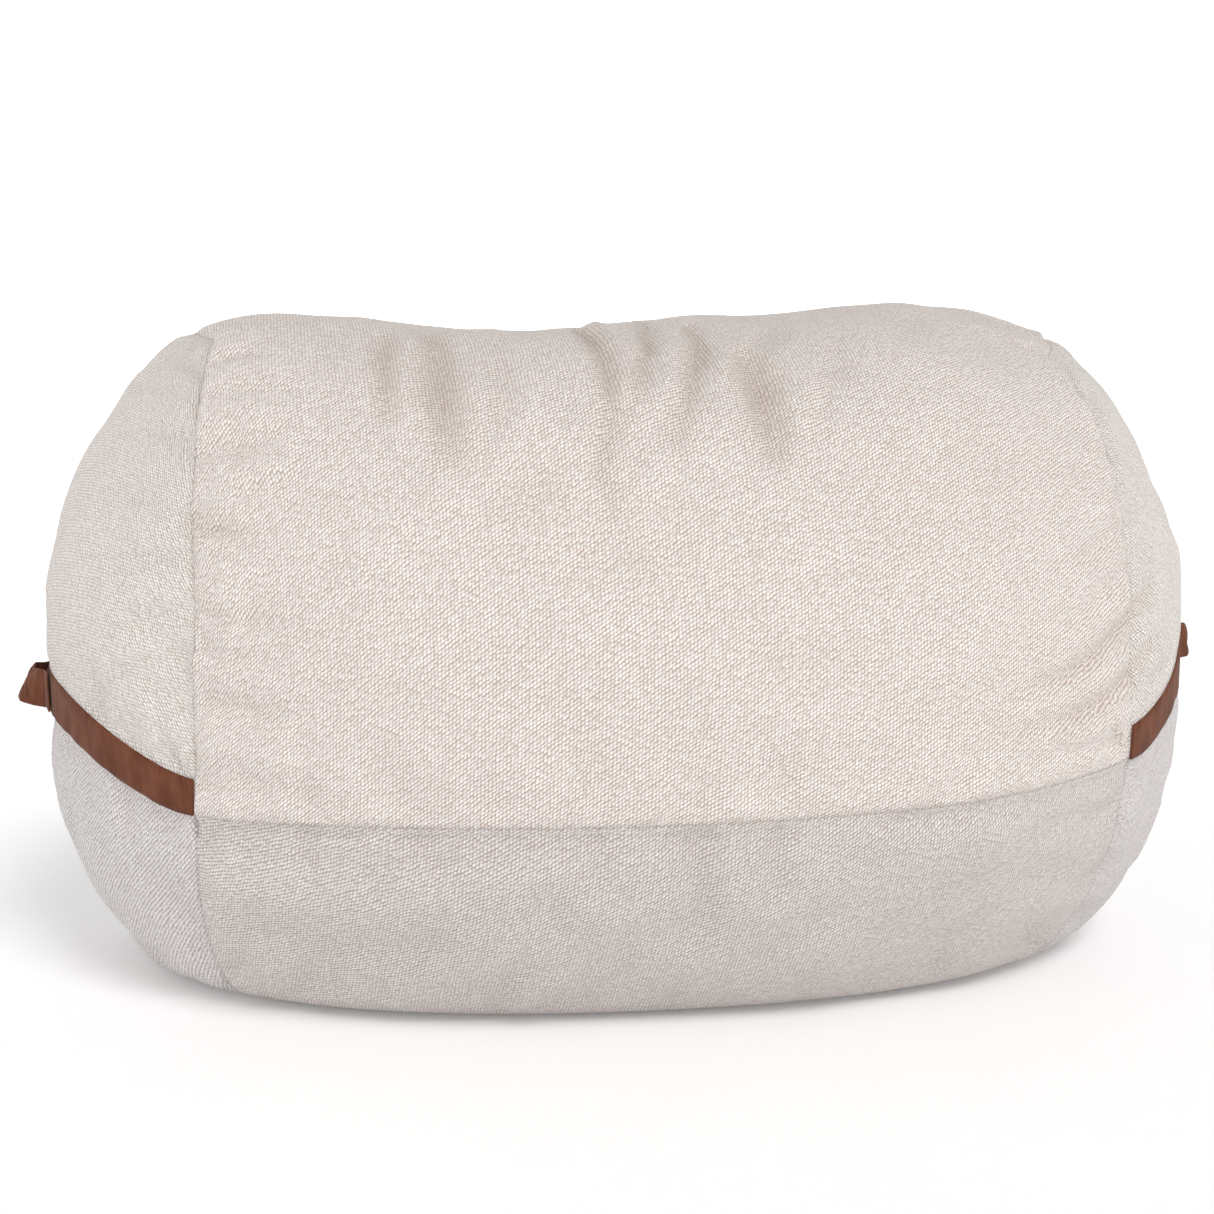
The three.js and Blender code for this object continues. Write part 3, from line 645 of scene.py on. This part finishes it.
def suede_material(name, edge=0.0):
    """Brown suede: short nap with darker and lighter strokes, fine cross creases with painted shade in them, a stitch
    row near each edge with painted shade in its groove.
    """
    n = Nodes(name)
    u, v, uv = n.uv("weave")
    plane = n.xyz(u, v)
    nap = n.noise(plane, 900, 4, rough=0.7)
    stroke = n.noise(n.xyz(n.math("MULTIPLY", u, 1.0), n.math("MULTIPLY", v, 0.30)), 60, 4, rough=0.6)
    cloud = n.noise(plane, 22, 3)
    crease_n = n.noise(n.xyz(u, n.math("MULTIPLY", v, 0.16)), 150, 3)
    crease = n.smooth(crease_n, 0.50, 0.66)
    k = n.math("ADD", n.math("MULTIPLY", stroke, 0.55), n.math("MULTIPLY", cloud, 0.45))
    base = n.mix(n.smooth(k, 0.30, 0.70), rgb(88, 49, 33), rgb(115, 70, 50))
    # Painted shade: the creases darken the suede's colour.
    base = n.mix(n.math("MULTIPLY", crease, 0.45), base, rgb(80, 43, 30))
    fine = n.math("MULTIPLY_ADD", nap, 0.50, 0.75)
    base = n.mix(1.0, base, n.new("ShaderNodeCombineColor", {0: fine, 1: fine, 2: fine}), "MULTIPLY")
    # v is counted from the strap's middle line, so both stitch rows sit the same way in from an edge
    off = n.math("ABSOLUTE", v)
    row = n.smooth(n.math("ABSOLUTE", n.math("SUBTRACT", off, 0.0178)), 0.0009, 0.0003)
    dash = n.smooth(n.math("ABSOLUTE", n.math("SUBTRACT", n.math("FRACT", n.math("DIVIDE", u, 0.0036)), 0.5)), 0.40, 0.30)
    thread = n.math("MULTIPLY", row, dash)
    # Painted shade: the stitch row's groove darkened; the lighter thread dashes over it are the thread's own colour.
    base = n.mix(n.math("MULTIPLY", row, 0.55), base, rgb(66, 36, 26))
    base = n.mix(n.math("MULTIPLY", thread, 0.8), base, rgb(108, 66, 48))
    height = n.math("ADD", n.math("MULTIPLY", nap, 0.22), n.math("MULTIPLY", crease, -0.55))
    height = n.math("ADD", height, n.math("ADD", n.math("MULTIPLY", row, -0.7), n.math("MULTIPLY", thread, 0.8)))
    m = n.finish(Base_Color=base, Normal=n.bump(height, 0.45, 0.0007), Roughness=0.93)
    n.bsdf.inputs["Sheen Weight"].default_value = 0.06
    n.bsdf.inputs["Sheen Roughness"].default_value = 0.5
    n.bsdf.inputs["Specular IOR Level"].default_value = 0.08
    return m


def cloth_material(name, colour, pitch=0.0007, rough=0.8, bump=0.4):
    """Plain woven cloth: over-and-under threads."""
    n = Nodes(name)
    tc = n.new("ShaderNodeTexCoord", out=3)
    s = n.t.nodes.new("ShaderNodeSeparateXYZ")
    n.t.links.new(tc, s.inputs[0])
    k = 2 * math.pi / pitch
    a = n.math("SINE", n.math("MULTIPLY", n.math("ADD", s.outputs[0], n.math("MULTIPLY", s.outputs[2], 0.6)), k))
    b = n.math("SINE", n.math("MULTIPLY", n.math("ADD", s.outputs[1], n.math("MULTIPLY", s.outputs[2], 0.8)), k))
    weave = n.math("MULTIPLY_ADD", n.math("MULTIPLY", a, b), 0.5, 0.5)
    cloud = n.noise(tc, 30, 3)
    tone = n.math("MULTIPLY_ADD", weave, 0.12, n.math("MULTIPLY_ADD", cloud, 0.10, 0.86))
    base = n.mix(1.0, colour, n.new("ShaderNodeCombineColor", {0: tone, 1: tone, 2: tone}), "MULTIPLY")
    m = n.finish(Base_Color=base, Normal=n.bump(weave, bump, pitch * 0.4), Roughness=rough)
    n.bsdf.inputs["Sheen Weight"].default_value = 0.15
    return m


def foam_material(name):
    """Shredded foam: crumbs of a few colours packed together, open pores in each."""
    n = Nodes(name)
    tc = n.new("ShaderNodeTexCoord", out=3)
    crumb = n.t.nodes.new("ShaderNodeTexVoronoi")
    crumb.inputs["Scale"].default_value = 70
    n.t.links.new(tc, crumb.inputs["Vector"])
    pick = n.new("ShaderNodeSeparateColor", {0: crumb.outputs["Color"]})
    c = n.mix(n.smooth(pick, 0.45, 0.75), rgb(226, 214, 168), rgb(214, 222, 226))
    pores = n.noise(tc, 1200, 4, rough=0.8)
    tone = n.math("MULTIPLY_ADD", pores, 0.35, 0.78)
    c = n.mix(1.0, c, n.new("ShaderNodeCombineColor", {0: tone, 1: tone, 2: tone}), "MULTIPLY")
    height = n.math("ADD", n.math("MULTIPLY", crumb.outputs["Distance"], -1.2), n.math("MULTIPLY", pores, 0.2))
    return n.finish(Base_Color=c, Normal=n.bump(height, 0.9, 0.004), Roughness=0.95)


def metal_material(name):
    n = Nodes(name)
    tc = n.new("ShaderNodeTexCoord", out=3)
    wear = n.noise(tc, 400, 4)
    base = n.mix(wear, (0.42, 0.40, 0.37, 1), (0.58, 0.56, 0.53, 1))
    return n.finish(Base_Color=base, Roughness=n.math("MULTIPLY_ADD", wear, 0.25, 0.28), Metallic=1.0, Normal=n.bump(n.noise(tc, 1500, 3), 0.15, 0.0003))


def nylon_material(name):
    n = Nodes(name)
    tc = n.new("ShaderNodeTexCoord", out=3)
    k = n.noise(tc, 300, 3)
    base = n.mix(k, rgb(196, 184, 168), rgb(214, 203, 188))
    return n.finish(Base_Color=base, Roughness=0.42, Normal=n.bump(n.noise(tc, 2500, 2), 0.2, 0.0002))


YARN, GAP = rgb(231, 226, 223), rgb(187, 168, 155)
WEAVE = {
    "main_panel": weave_material("chenille_main", YARN, GAP),
    # Painted shade: the lower panels are darker, cooler copies of the same chenille, since they face down, away from
    # the light.
    "lower": weave_material("chenille_lower_painted_shade", rgb(217, 212, 210), rgb(173, 159, 151), slant=-0.56, py=0.0046),
    "end": weave_material("chenille_end", rgb(229, 225, 222), rgb(183, 169, 158), turn=math.radians(80)),
    "end_lower": weave_material("chenille_end_lower_painted_shade", rgb(220, 216, 216), rgb(172, 163, 159), slant=-0.50, py=0.0046),
    "base": weave_material("chenille_base", rgb(232, 227, 224), rgb(190, 176, 166), slant=0.38),
}
SUEDE = suede_material("brown_suede")
LINER = cloth_material("liner_polyester", rgb(236, 236, 232))
TAPE = cloth_material("zip_tape_weave", rgb(214, 202, 186), pitch=0.0011, rough=0.85, bump=0.7)
SATIN = cloth_material("label_satin", rgb(226, 224, 218), pitch=0.0004, rough=0.45, bump=0.2)
FOAM, METAL, NYLON = foam_material("foam_crumb"), metal_material("zip_metal"), nylon_material("zip_nylon")


# ------------------------------------------------------------------ pieces from the grid
def two_sided(name, outer, inner, weave_uv, material):
    """A closed sheet from two matching grids, with its weave coordinates and its own unwrapped map."""
    m, n = outer.shape[:2]
    V = np.concatenate([outer.reshape(-1, 3), inner.reshape(-1, 3)])
    idx = np.arange(m * n).reshape(m, n)
    top, low = quads(idx), quads(idx + m * n)[:, ::-1]
    c = np.cross(V[top[:, 1]] - V[top[:, 0]], V[top[:, 3]] - V[top[:, 0]])
    if (c * (outer.reshape(-1, 3) - inner.reshape(-1, 3))[top[:, 0]]).sum() < 0:
        top, low = top[:, ::-1], low[:, ::-1]
    ring = np.concatenate([idx[:, 0], idx[-1, 1:], idx[-2::-1, -1], idx[0, -2:0:-1]])
    nxt = np.roll(ring, -1)
    rim = np.stack([ring, nxt, nxt + m * n, ring + m * n], -1)
    # the rim runs against the outer faces along the same edge
    edges = set(zip(top.reshape(-1).tolist(), np.roll(top, -1, 1).reshape(-1).tolist()))
    if (int(ring[0]), int(nxt[0])) in edges:
        rim = rim[:, ::-1]
    F = np.concatenate([top, low, rim])
    me = make_mesh(name, V, F)
    w = np.concatenate([weave_uv.reshape(-1, 2)] * 2)
    lay = me.uv_layers.new(name="weave")
    loop = np.zeros(len(me.loops), np.int32)
    me.loops.foreach_get("vertex_index", loop)
    lay.data.foreach_set("uv", w[loop].astype(np.float32).reshape(-1))
    lo, hi = weave_uv.reshape(-1, 2).min(0), weave_uv.reshape(-1, 2).max(0)
    k = (w - lo) / (hi - lo)
    size = hi - lo
    bake = me.uv_layers.new(name="OFBake")
    # outer faces take most of the square; the inside and the rim share the rest
    b = np.zeros((len(me.loops), 2))
    nt = len(top) * 4
    b[:nt] = k[loop[:nt]] * [0.98, 0.78] + [0.01, 0.01]
    nl = nt + len(low) * 4
    b[nt:nl] = k[loop[nt:nl]] * [0.60, 0.15] + [0.01, 0.82]
    r = np.arange(len(rim)) / len(rim)
    e = np.stack([r, r + 1 / len(rim)], 1)
    which = np.isin(loop[nl:].reshape(-1, 4) % (m * n), nxt) * 0
    order = np.array([[0, 0], [1, 0], [1, 1], [0, 1]])
    for q in range(4):
        b[nl + q::4] = np.stack([0.65 + 0.33 * (r + order[q, 0] / len(rim)), 0.84 + 0.10 * order[q, 1] + 0 * r], 1)
    bake.data.foreach_set("uv", b.astype(np.float32).reshape(-1))
    me.uv_layers.active = lay
    me.materials.append(material)
    o = bpy.data.objects.new(name, me)
    SCENE.collection.objects.link(o)
    return o


def cover_panel(name, material, out=0.0, thick=0.002, prefix="cover_"):
    """One panel of the cover, with a mask for painted shade in its fold grooves and hollows, where its pile is also
    pressed down.
    """
    ids = PANELS[name]
    P, N = POS[ids].copy(), N1[ids]
    if name in ("base_front_panel", "base_rear_panel"):
        side = -1 if name == "base_front_panel" else 1
        j = -1 if side < 0 else 0
        x = P[:, j, 0]
        open_w = 0.0080 * np.clip((0.462 - abs(x)) / 0.012, 0, 1)
        for step, share in ((0, 1.0), (1, 0.55), (2, 0.2)):
            jj = j + step * (side if side > 0 else -1)
            P[:, jj, 1] += side * open_w * share
    o = two_sided(prefix + name, P + N * out, P + N * (out - thick), WEAVE_UV[name], material)
    # the painted fold shade mask, on both sides of the sheet
    mask = o.data.attributes.new("fold_shade_and_pile", "FLOAT", "POINT")
    mask.data.foreach_set("value", np.tile(FOLD_SHADE_AND_PILE[ids].reshape(-1), 2).astype(np.float32))
    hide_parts(name)
    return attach(o, "bag")


KIND = {"main_panel": "main_panel", "left_end_panel": "end", "right_end_panel": "end", "front_lower_panel": "lower", "back_lower_panel": "lower",
        "left_lower_panel": "end_lower", "right_lower_panel": "end_lower", "base_front_panel": "base", "base_rear_panel": "base"}
covers = {name: cover_panel(name, WEAVE[k]) for name, k in KIND.items()}

# ------------------------------------------------------------------ end bands
for side in ("left", "right"):
    ids = PANELS[side + "_band"]
    P, N = POS[ids].copy(), N1[ids]
    u, v = arcs(P)
    mid = v[:, NB // 2:NB // 2 + 1]
    ripple = 0.0004 * field(41, 0.035, P.reshape(-1, 3) * [1, 1, 0.25], 30).reshape(P.shape[:2])
    proud = 0.0022 + ripple
    proud[:, 0] += 0.0004
    proud[:, -1] -= 0.0022
    uvw = np.stack([u - u[u.shape[0] // 2], v - mid], -1)
    o = two_sided("suede_band_" + side, P + N * proud[..., None], P + N * (proud[..., None] - 0.0026), uvw, SUEDE)
    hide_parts(side + "_band")
    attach(o, "bag")

# ------------------------------------------------------------------ handles
H_FREE, H_SEWN, H_AT, H_W, H_T = 0.134, 0.032, 0.050, 0.046, 0.0024
H_TILT = {"left": 0.44, "right": 0.10}
H_BOW = {"left": 0.024, "right": 0.034}


def band_point(face, t):
    return on(face, t, level(face, t, seam_z(face, t) + band_h(t) / 2))


for side in ("left", "right"):
    T = np.linspace(-1, 1, 401)
    C = surf(band_point(side, T))
    L = np.concatenate([[0], np.cumsum(np.linalg.norm(np.diff(C, axis=0), axis=1))])
    L -= L[200]
    half = H_FREE / 2
    A = np.concatenate([np.linspace(-half - H_SEWN, -half, 14)[:-1], np.linspace(-half, half, 72), np.linspace(half, half + H_SEWN, 14)[1:]])
    q = band_point(side, np.interp(A + H_AT, L, T))
    n = normal(q)
    p = surf(q) + n * 0.0034
    out = unit(n * [1, 1, 0])
    g = np.where(abs(A) < half, np.cos(np.pi * A / H_FREE), 0)
    g = np.where(abs(A) < half, g, 0)
    lean = np.arctan2(-n[:, 2], np.hypot(n[:, 0], n[:, 1])) * (1 - g) - H_TILT[side] * g
    Z = np.array([0, 0, 1.0])
    across = Z * np.cos(lean)[:, None] + out * np.sin(lean)[:, None]
    face_n = out * np.cos(lean)[:, None] - Z * np.sin(lean)[:, None]
    c = p + out * (g * H_BOW[side])[:, None]
    hs = np.linspace(-1, 1, 15)
    w = H_W / 2 * (1 - 0.06 * g ** 2)
    P = c[:, None] + across[:, None] * (hs[None, :, None] * w[:, None, None])
    flatp = np.stack([np.broadcast_to(A[:, None], P.shape[:2]), np.broadcast_to(hs[None] * H_W / 2, P.shape[:2]), np.full(P.shape[:2], 3.0 if side == "left" else 7.0)], -1).reshape(-1, 3)
    r = np.random.RandomState(5 if side == "left" else 9)
    crease = 0.0016 * field(51, 0.022, flatp * [1, 0.45, 1], 30) + 0.0012 * field(52, 0.05, flatp, 20)
    for k in range(5):
        a0, slope = r.uniform(-0.05, 0.05), r.uniform(-0.9, 0.9)
        crease -= 0.0030 * np.exp(-(((flatp[:, 0] - a0 - slope * flatp[:, 1]) / 0.0032) ** 2)) * np.clip(0.6 + flatp[:, 1] / 0.02 * r.choice([-1, 1]), 0, 1)
    crease = crease.reshape(P.shape[:2]) * np.clip(g * 2.2, 0.10, 1)[:, None]
    cup = (0.0015 if side == "left" else 0.0045) * (hs[None] ** 2) * g[:, None]
    P = P + face_n[:, None] * (crease - cup)[..., None]
    thick = H_T * (1 - 0.35 * (abs(hs) > 0.99))
    uvw = np.stack([np.broadcast_to(A[:, None], P.shape[:2]), np.broadcast_to(hs[None] * H_W / 2 * 0.96, P.shape[:2])], -1)
    o = two_sided("suede_handle_" + side, P + face_n[:, None] * (thick / 2)[None, :, None], P - face_n[:, None] * (thick / 2)[None, :, None], uvw, SUEDE)
    sub = o.modifiers.new("round", "SUBSURF")
    sub.levels = sub.render_levels = 1
    bpy.context.view_layer.objects.active = o
    bpy.ops.object.select_all(action="DESELECT")
    o.select_set(True)
    bpy.ops.object.modifier_apply(modifier="round")
    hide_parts(side + "_handle", side + "_handle_front_tab", side + "_handle_rear_tab")
    joint = next(j for j in frame["joints"] if j["name"] == side + "_handle_lift")
    pivot, ax = np.array(joint["pos_m"]), unit(np.array(joint["axis"]))
    go = unit(np.cross(ax, Z) * (1 if side == "left" else 1))
    if go[0] * (-1 if side == "left" else 1) < 0:
        go = -go
    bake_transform(o)


# ------------------------------------------------------------------ zips
def box_part(name, lo, hi, material, node, bevel=0.0003, cuts=1, body="bag"):
    """A bevelled bar with the CAD node's own size."""
    import bmesh
    bm = bmesh.new()
    bmesh.ops.create_cube(bm, size=1)
    lo, hi = np.array(lo), np.array(hi)
    for v in bm.verts:
        v.co = Vector(lo + (np.array(v.co) + 0.5) * (hi - lo))
    if bevel:
        bmesh.ops.bevel(bm, geom=list(bm.edges), offset=bevel, segments=2, affect="EDGES", profile=0.5)
    me = bpy.data.meshes.new(name)
    bm.to_mesh(me)
    bm.free()
    me.materials.append(material)
    o = bpy.data.objects.new(name, me)
    SCENE.collection.objects.link(o)
    if node:
        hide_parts(node)
    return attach(o, body)


def merged(name, parts, material, nodes, body="bag"):
    """Several closed shapes, given as (verts, faces), in one piece."""
    V, F, at = [], [], 0
    for v, f in parts:
        V.append(v)
        F += [tuple(int(i) + at for i in q) for q in f]
        at += len(v)
    me = bpy.data.meshes.new(name)
    me.from_pydata(np.concatenate(V).tolist(), [], F)
    me.update()
    me.polygons.foreach_set("use_smooth", np.ones(len(me.polygons), bool))
    me.materials.append(material)
    o = bpy.data.objects.new(name, me)
    SCENE.collection.objects.link(o)
    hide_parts(*nodes)
    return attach(o, body)


def tube(points, r, sides=6):
    """A closed round bar along a line of points."""
    P = np.array(points, float)
    t = unit(np.gradient(P, axis=0))
    ref = np.array([0, 0, 1.0]) if abs(t[0][2]) < 0.9 else np.array([0, 1.0, 0])
    a = unit(np.cross(t, ref))
    b = np.cross(t, a)
    ang = np.arange(sides) * 2 * np.pi / sides
    V = (P[:, None] + r * (a[:, None] * np.cos(ang)[None, :, None] + b[:, None] * np.sin(ang)[None, :, None])).reshape(-1, 3)
    n = len(P)
    F = [(i * sides + k, i * sides + (k + 1) % sides, (i + 1) * sides + (k + 1) % sides, (i + 1) * sides + k) for i in range(n - 1) for k in range(sides)]
    F += [tuple(range(sides))[::-1], tuple((n - 1) * sides + k for k in range(sides))]
    return V, F


for zipn in ("cover_zip", "liner_zip"):
    (f0, f1), (r0, r1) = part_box(zipn + "_front_coil"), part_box(zipn + "_rear_coil")
    for part, (lo, hi), inward in (("front", (f0, f1), 1), ("rear", (r0, r1), -1)):
        # a row of hooked teeth, one turn of the coil each
        pitch = 0.0030
        x0 = lo.x + 0.0016 + (0.0 if inward > 0 else pitch / 2)
        ymid, zmid, hy, hz = (lo.y + hi.y) / 2, (lo.z + hi.z) / 2, (hi.y - lo.y) / 2, (hi.z - lo.z) / 2
        parts = []
        r = 0.00052
        ang = np.linspace(0, 2 * np.pi, 9)[:-1] * 1.0
        x = x0
        while x < hi.x - 0.0016:
            loop = [(x - 0.0002, ymid - inward * (hy - r), zmid - (hz - r)), (x, ymid + inward * (hy - 0.0012), zmid - (hz - r)),
                    (x + 0.0001, ymid + inward * (hy - r), zmid - 0.0003), (x + 0.0001, ymid + inward * (hy - r), zmid + 0.0003),
                    (x + 0.0002, ymid + inward * (hy - 0.0012), zmid + (hz - r)), (x + 0.0004, ymid - inward * (hy - r), zmid + (hz - r))]
            parts.append(tube(loop, r, 5))
            x += pitch
        parts.append(tube([(lo.x + 0.0006, ymid - inward * (hy - 0.0009), zmid), (hi.x - 0.0006, ymid - inward * (hy - 0.0009), zmid)], 0.0008, 6))
        merged(f"{zipn}_{part}_teeth", parts, NYLON, [f"{zipn}_{part}_coil"])
        lo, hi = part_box(f"{zipn}_{part}_tape")
        n_x, n_y = 160, 6
        gx, gy = np.meshgrid(np.linspace(lo.x, hi.x, n_x), np.linspace(lo.y, hi.y, n_y), indexing="ij")
        rib = 0.00008 * np.sin(gx * 400)
        t0 = np.stack([gx, gy, np.full_like(gx, lo.z) + rib + 0.0001], -1)
        t1 = np.stack([gx, gy, np.full_like(gx, hi.z) + rib - 0.0001], -1)
        o = two_sided(f"{zipn}_{part}_tape_cloth", t0, t1, np.stack([gx, gy], -1), TAPE)
        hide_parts(f"{zipn}_{part}_tape")
        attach(o, "bag")
    for end in ("top", "bottom"):
        lo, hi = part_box(f"{zipn}_{end}_stop")
        box_part(f"{zipn}_{end}_stop_metal", lo, hi, METAL, f"{zipn}_{end}_stop", bevel=0.0006)
    slider = frame["nodes"][zipn + "_slider"]
    slider.data.materials.clear()
    slider.data.materials.append(METAL)


# ------------------------------------------------------------------ liner, filling, label
def inner_surface(depth, base_depth, step, lump=0.0, seed=0):
    """The closed surface a little inside the cover, following its folds."""
    ids = {f: ID[f][::step, ::step] for f in ID}
    used = np.unique(np.concatenate([ids[f].reshape(-1) for f in ids]))
    small = np.full(NV, -1)
    small[used] = np.arange(len(used))
    F = facing_out(np.concatenate([quads(small[ids[f]]) for f in ids]), BASE[used], NRM[used])
    lowest = spread(np.minimum(0, OUT), step + 2, np.minimum)
    w = 1 - np.clip((BASE[used, 2] - 0.005) / 0.07, 0, 1)
    w = w * w * (3 - 2 * w)
    dep = depth + (base_depth - depth) * w
    P = BASE[used] + NRM[used] * (lowest[used] * 1.0 - dep + lump * np.minimum(field(seed, 0.05, BASE[used], 30), 0))[:, None]
    return P, F, small, ids, used


P, F, small, ids, used = inner_surface(0.0060, 0.010, 4)
Pi = P - NRM[used] * 0.0012
zl = [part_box("liner_zip_front_coil"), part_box("liner_zip_rear_coil")]
yz = (zl[0][0].y + zl[1][1].y) / 2
base_ids = small[ids["base"]]
rows_y = P[base_ids[base_ids.shape[0] // 2], 1]
ja = int(np.searchsorted(rows_y, yz)) - 1
x_half = (zl[0][1].x - zl[0][0].x) / 2 + 0.012
hole = set()
for i in range(base_ids.shape[0]):
    for arr in (P, Pi):
        x = arr[base_ids[i, ja], 0]
        if abs(x) < x_half + 0.03:
            arr[base_ids[i, ja], 1], arr[base_ids[i, ja + 1], 1] = yz - 0.008, yz + 0.008
for i in range(base_ids.shape[0] - 1):
    xs = P[base_ids[i:i + 2, ja], 0]
    if abs(xs).max() < x_half + 0.012:
        hole.add(frozenset(int(k) for k in (base_ids[i, ja], base_ids[i + 1, ja], base_ids[i + 1, ja + 1], base_ids[i, ja + 1])))
keep = np.array([frozenset(int(k) for k in f) not in hole for f in F])
cutF = F[~keep]
F2 = F[keep]
edge_count = {}
for f in cutF:
    for a, b in zip(f, np.roll(f, -1)):
        edge_count.setdefault(frozenset((int(a), int(b))), []).append((int(a), int(b)))
nP = len(P)
rim = [(a, b, b + nP, a + nP) for e in edge_count.values() if len(e) == 1 for a, b in e]
faces = [tuple(f) for f in F2] + [tuple(f + nP)[::-1] for f in F2] + rim
me = bpy.data.meshes.new("liner_bag")
me.from_pydata(np.concatenate([P, Pi]).tolist(), [], [tuple(int(k) for k in f) for f in faces])
me.update()
me.polygons.foreach_set("use_smooth", np.ones(len(me.polygons), bool))
me.materials.append(LINER)
liner = bpy.data.objects.new("liner_bag", me)
SCENE.collection.objects.link(liner)
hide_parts("liner")
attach(liner, "bag")

P, F, small, ids, used = inner_surface(0.0095, 0.0172, 2, lump=0.0022, seed=61)
me = make_mesh("foam_filling", P, F)
me.materials.append(FOAM)
foam = bpy.data.objects.new("foam_filling", me)
SCENE.collection.objects.link(foam)
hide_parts("foam_fill")
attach(foam, "bag")

t = np.linspace(-0.62, -0.56, 9)
rows = []
for k in np.linspace(0, 1, 12):
    q = on("back", t, level("back", t, seam_z("back", t) - 0.006 - 0.056 * k))
    rows.append(surf(q) + normal(q) * (0.0036 + 0.0015 * math.sin(3 * k)))
G = np.stack(rows, 1)
qn = normal(on("back", t, level("back", t, seam_z("back", t) - 0.03)))[:, None]
u, v = arcs(G)
label = two_sided("care_label_blank", G + qn * 0.0003, G - qn * 0.0003, np.stack([u, v], -1), SATIN)
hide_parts("care_label")
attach(label, "bag")

# ------------------------------------------------------------------ stage and light
def white(name, verts, faces, glow):
    """A white sheet under or round the bag, staged only."""
    m = Nodes(name)
    k = m.noise(m.new("ShaderNodeTexCoord", out=3), 3, 2)
    m.finish(Base_Color=m.mix(k, (0.93, 0.93, 0.93, 1), (0.95, 0.95, 0.95, 1)), Roughness=0.9)
    m.bsdf.inputs["Emission Color"].default_value = (1, 1, 1, 1)
    m.bsdf.inputs["Emission Strength"].default_value = glow
    me = bpy.data.meshes.new(name)
    me.from_pydata(verts, [], faces)
    me.materials.append(m.m)
    o = bpy.data.objects.new(name, me)
    SCENE.collection.objects.link(o)


white("stage_floor", [(-14, -14, -0.0006), (14, -14, -0.0006), (14, 14, -0.0006), (-14, 14, -0.0006)], [(0, 1, 2, 3)], 0.09)
ring = [(8 * math.cos(k * math.pi / 32), 8 * math.sin(k * math.pi / 32), z) for z in (0, 3.4) for k in range(64)]
white("stage_wall", ring, [((k + 1) % 64, k, k + 64, (k + 1) % 64 + 64) for k in range(64)], 0.75)

world = bpy.data.worlds.new("studio")
SCENE.world = world
world.use_nodes = True
world.node_tree.nodes["Background"].inputs[0].default_value = (1, 1, 1, 1)
world.node_tree.nodes["Background"].inputs[1].default_value = 0.47


def light(name, at, to, size, power, colour=(1, 1, 1)):
    l = bpy.data.lights.new(name, "AREA")
    l.shape, l.size, l.energy, l.color = "DISK", size, power, colour
    o = bpy.data.objects.new(name, l)
    SCENE.collection.objects.link(o)
    o.location = at
    o.rotation_euler = (Vector(at) - Vector(to)).to_track_quat("Z", "Y").to_euler()


sun = bpy.data.lights.new("key", "SUN")
sun.energy, sun.angle = 1.36, math.radians(22)
key = bpy.data.objects.new("key", sun)
SCENE.collection.objects.link(key)
key.rotation_euler = Vector((0.28, -1.0, 1.08)).to_track_quat("Z", "Y").to_euler()
light("fill", (-3.2, -1.6, 1.8), (0, 0, 0.4), 2.2, 6)
SCENE.view_settings.view_transform = "Standard"
SCENE.view_settings.look = "None"

bpy.context.view_layer.update()
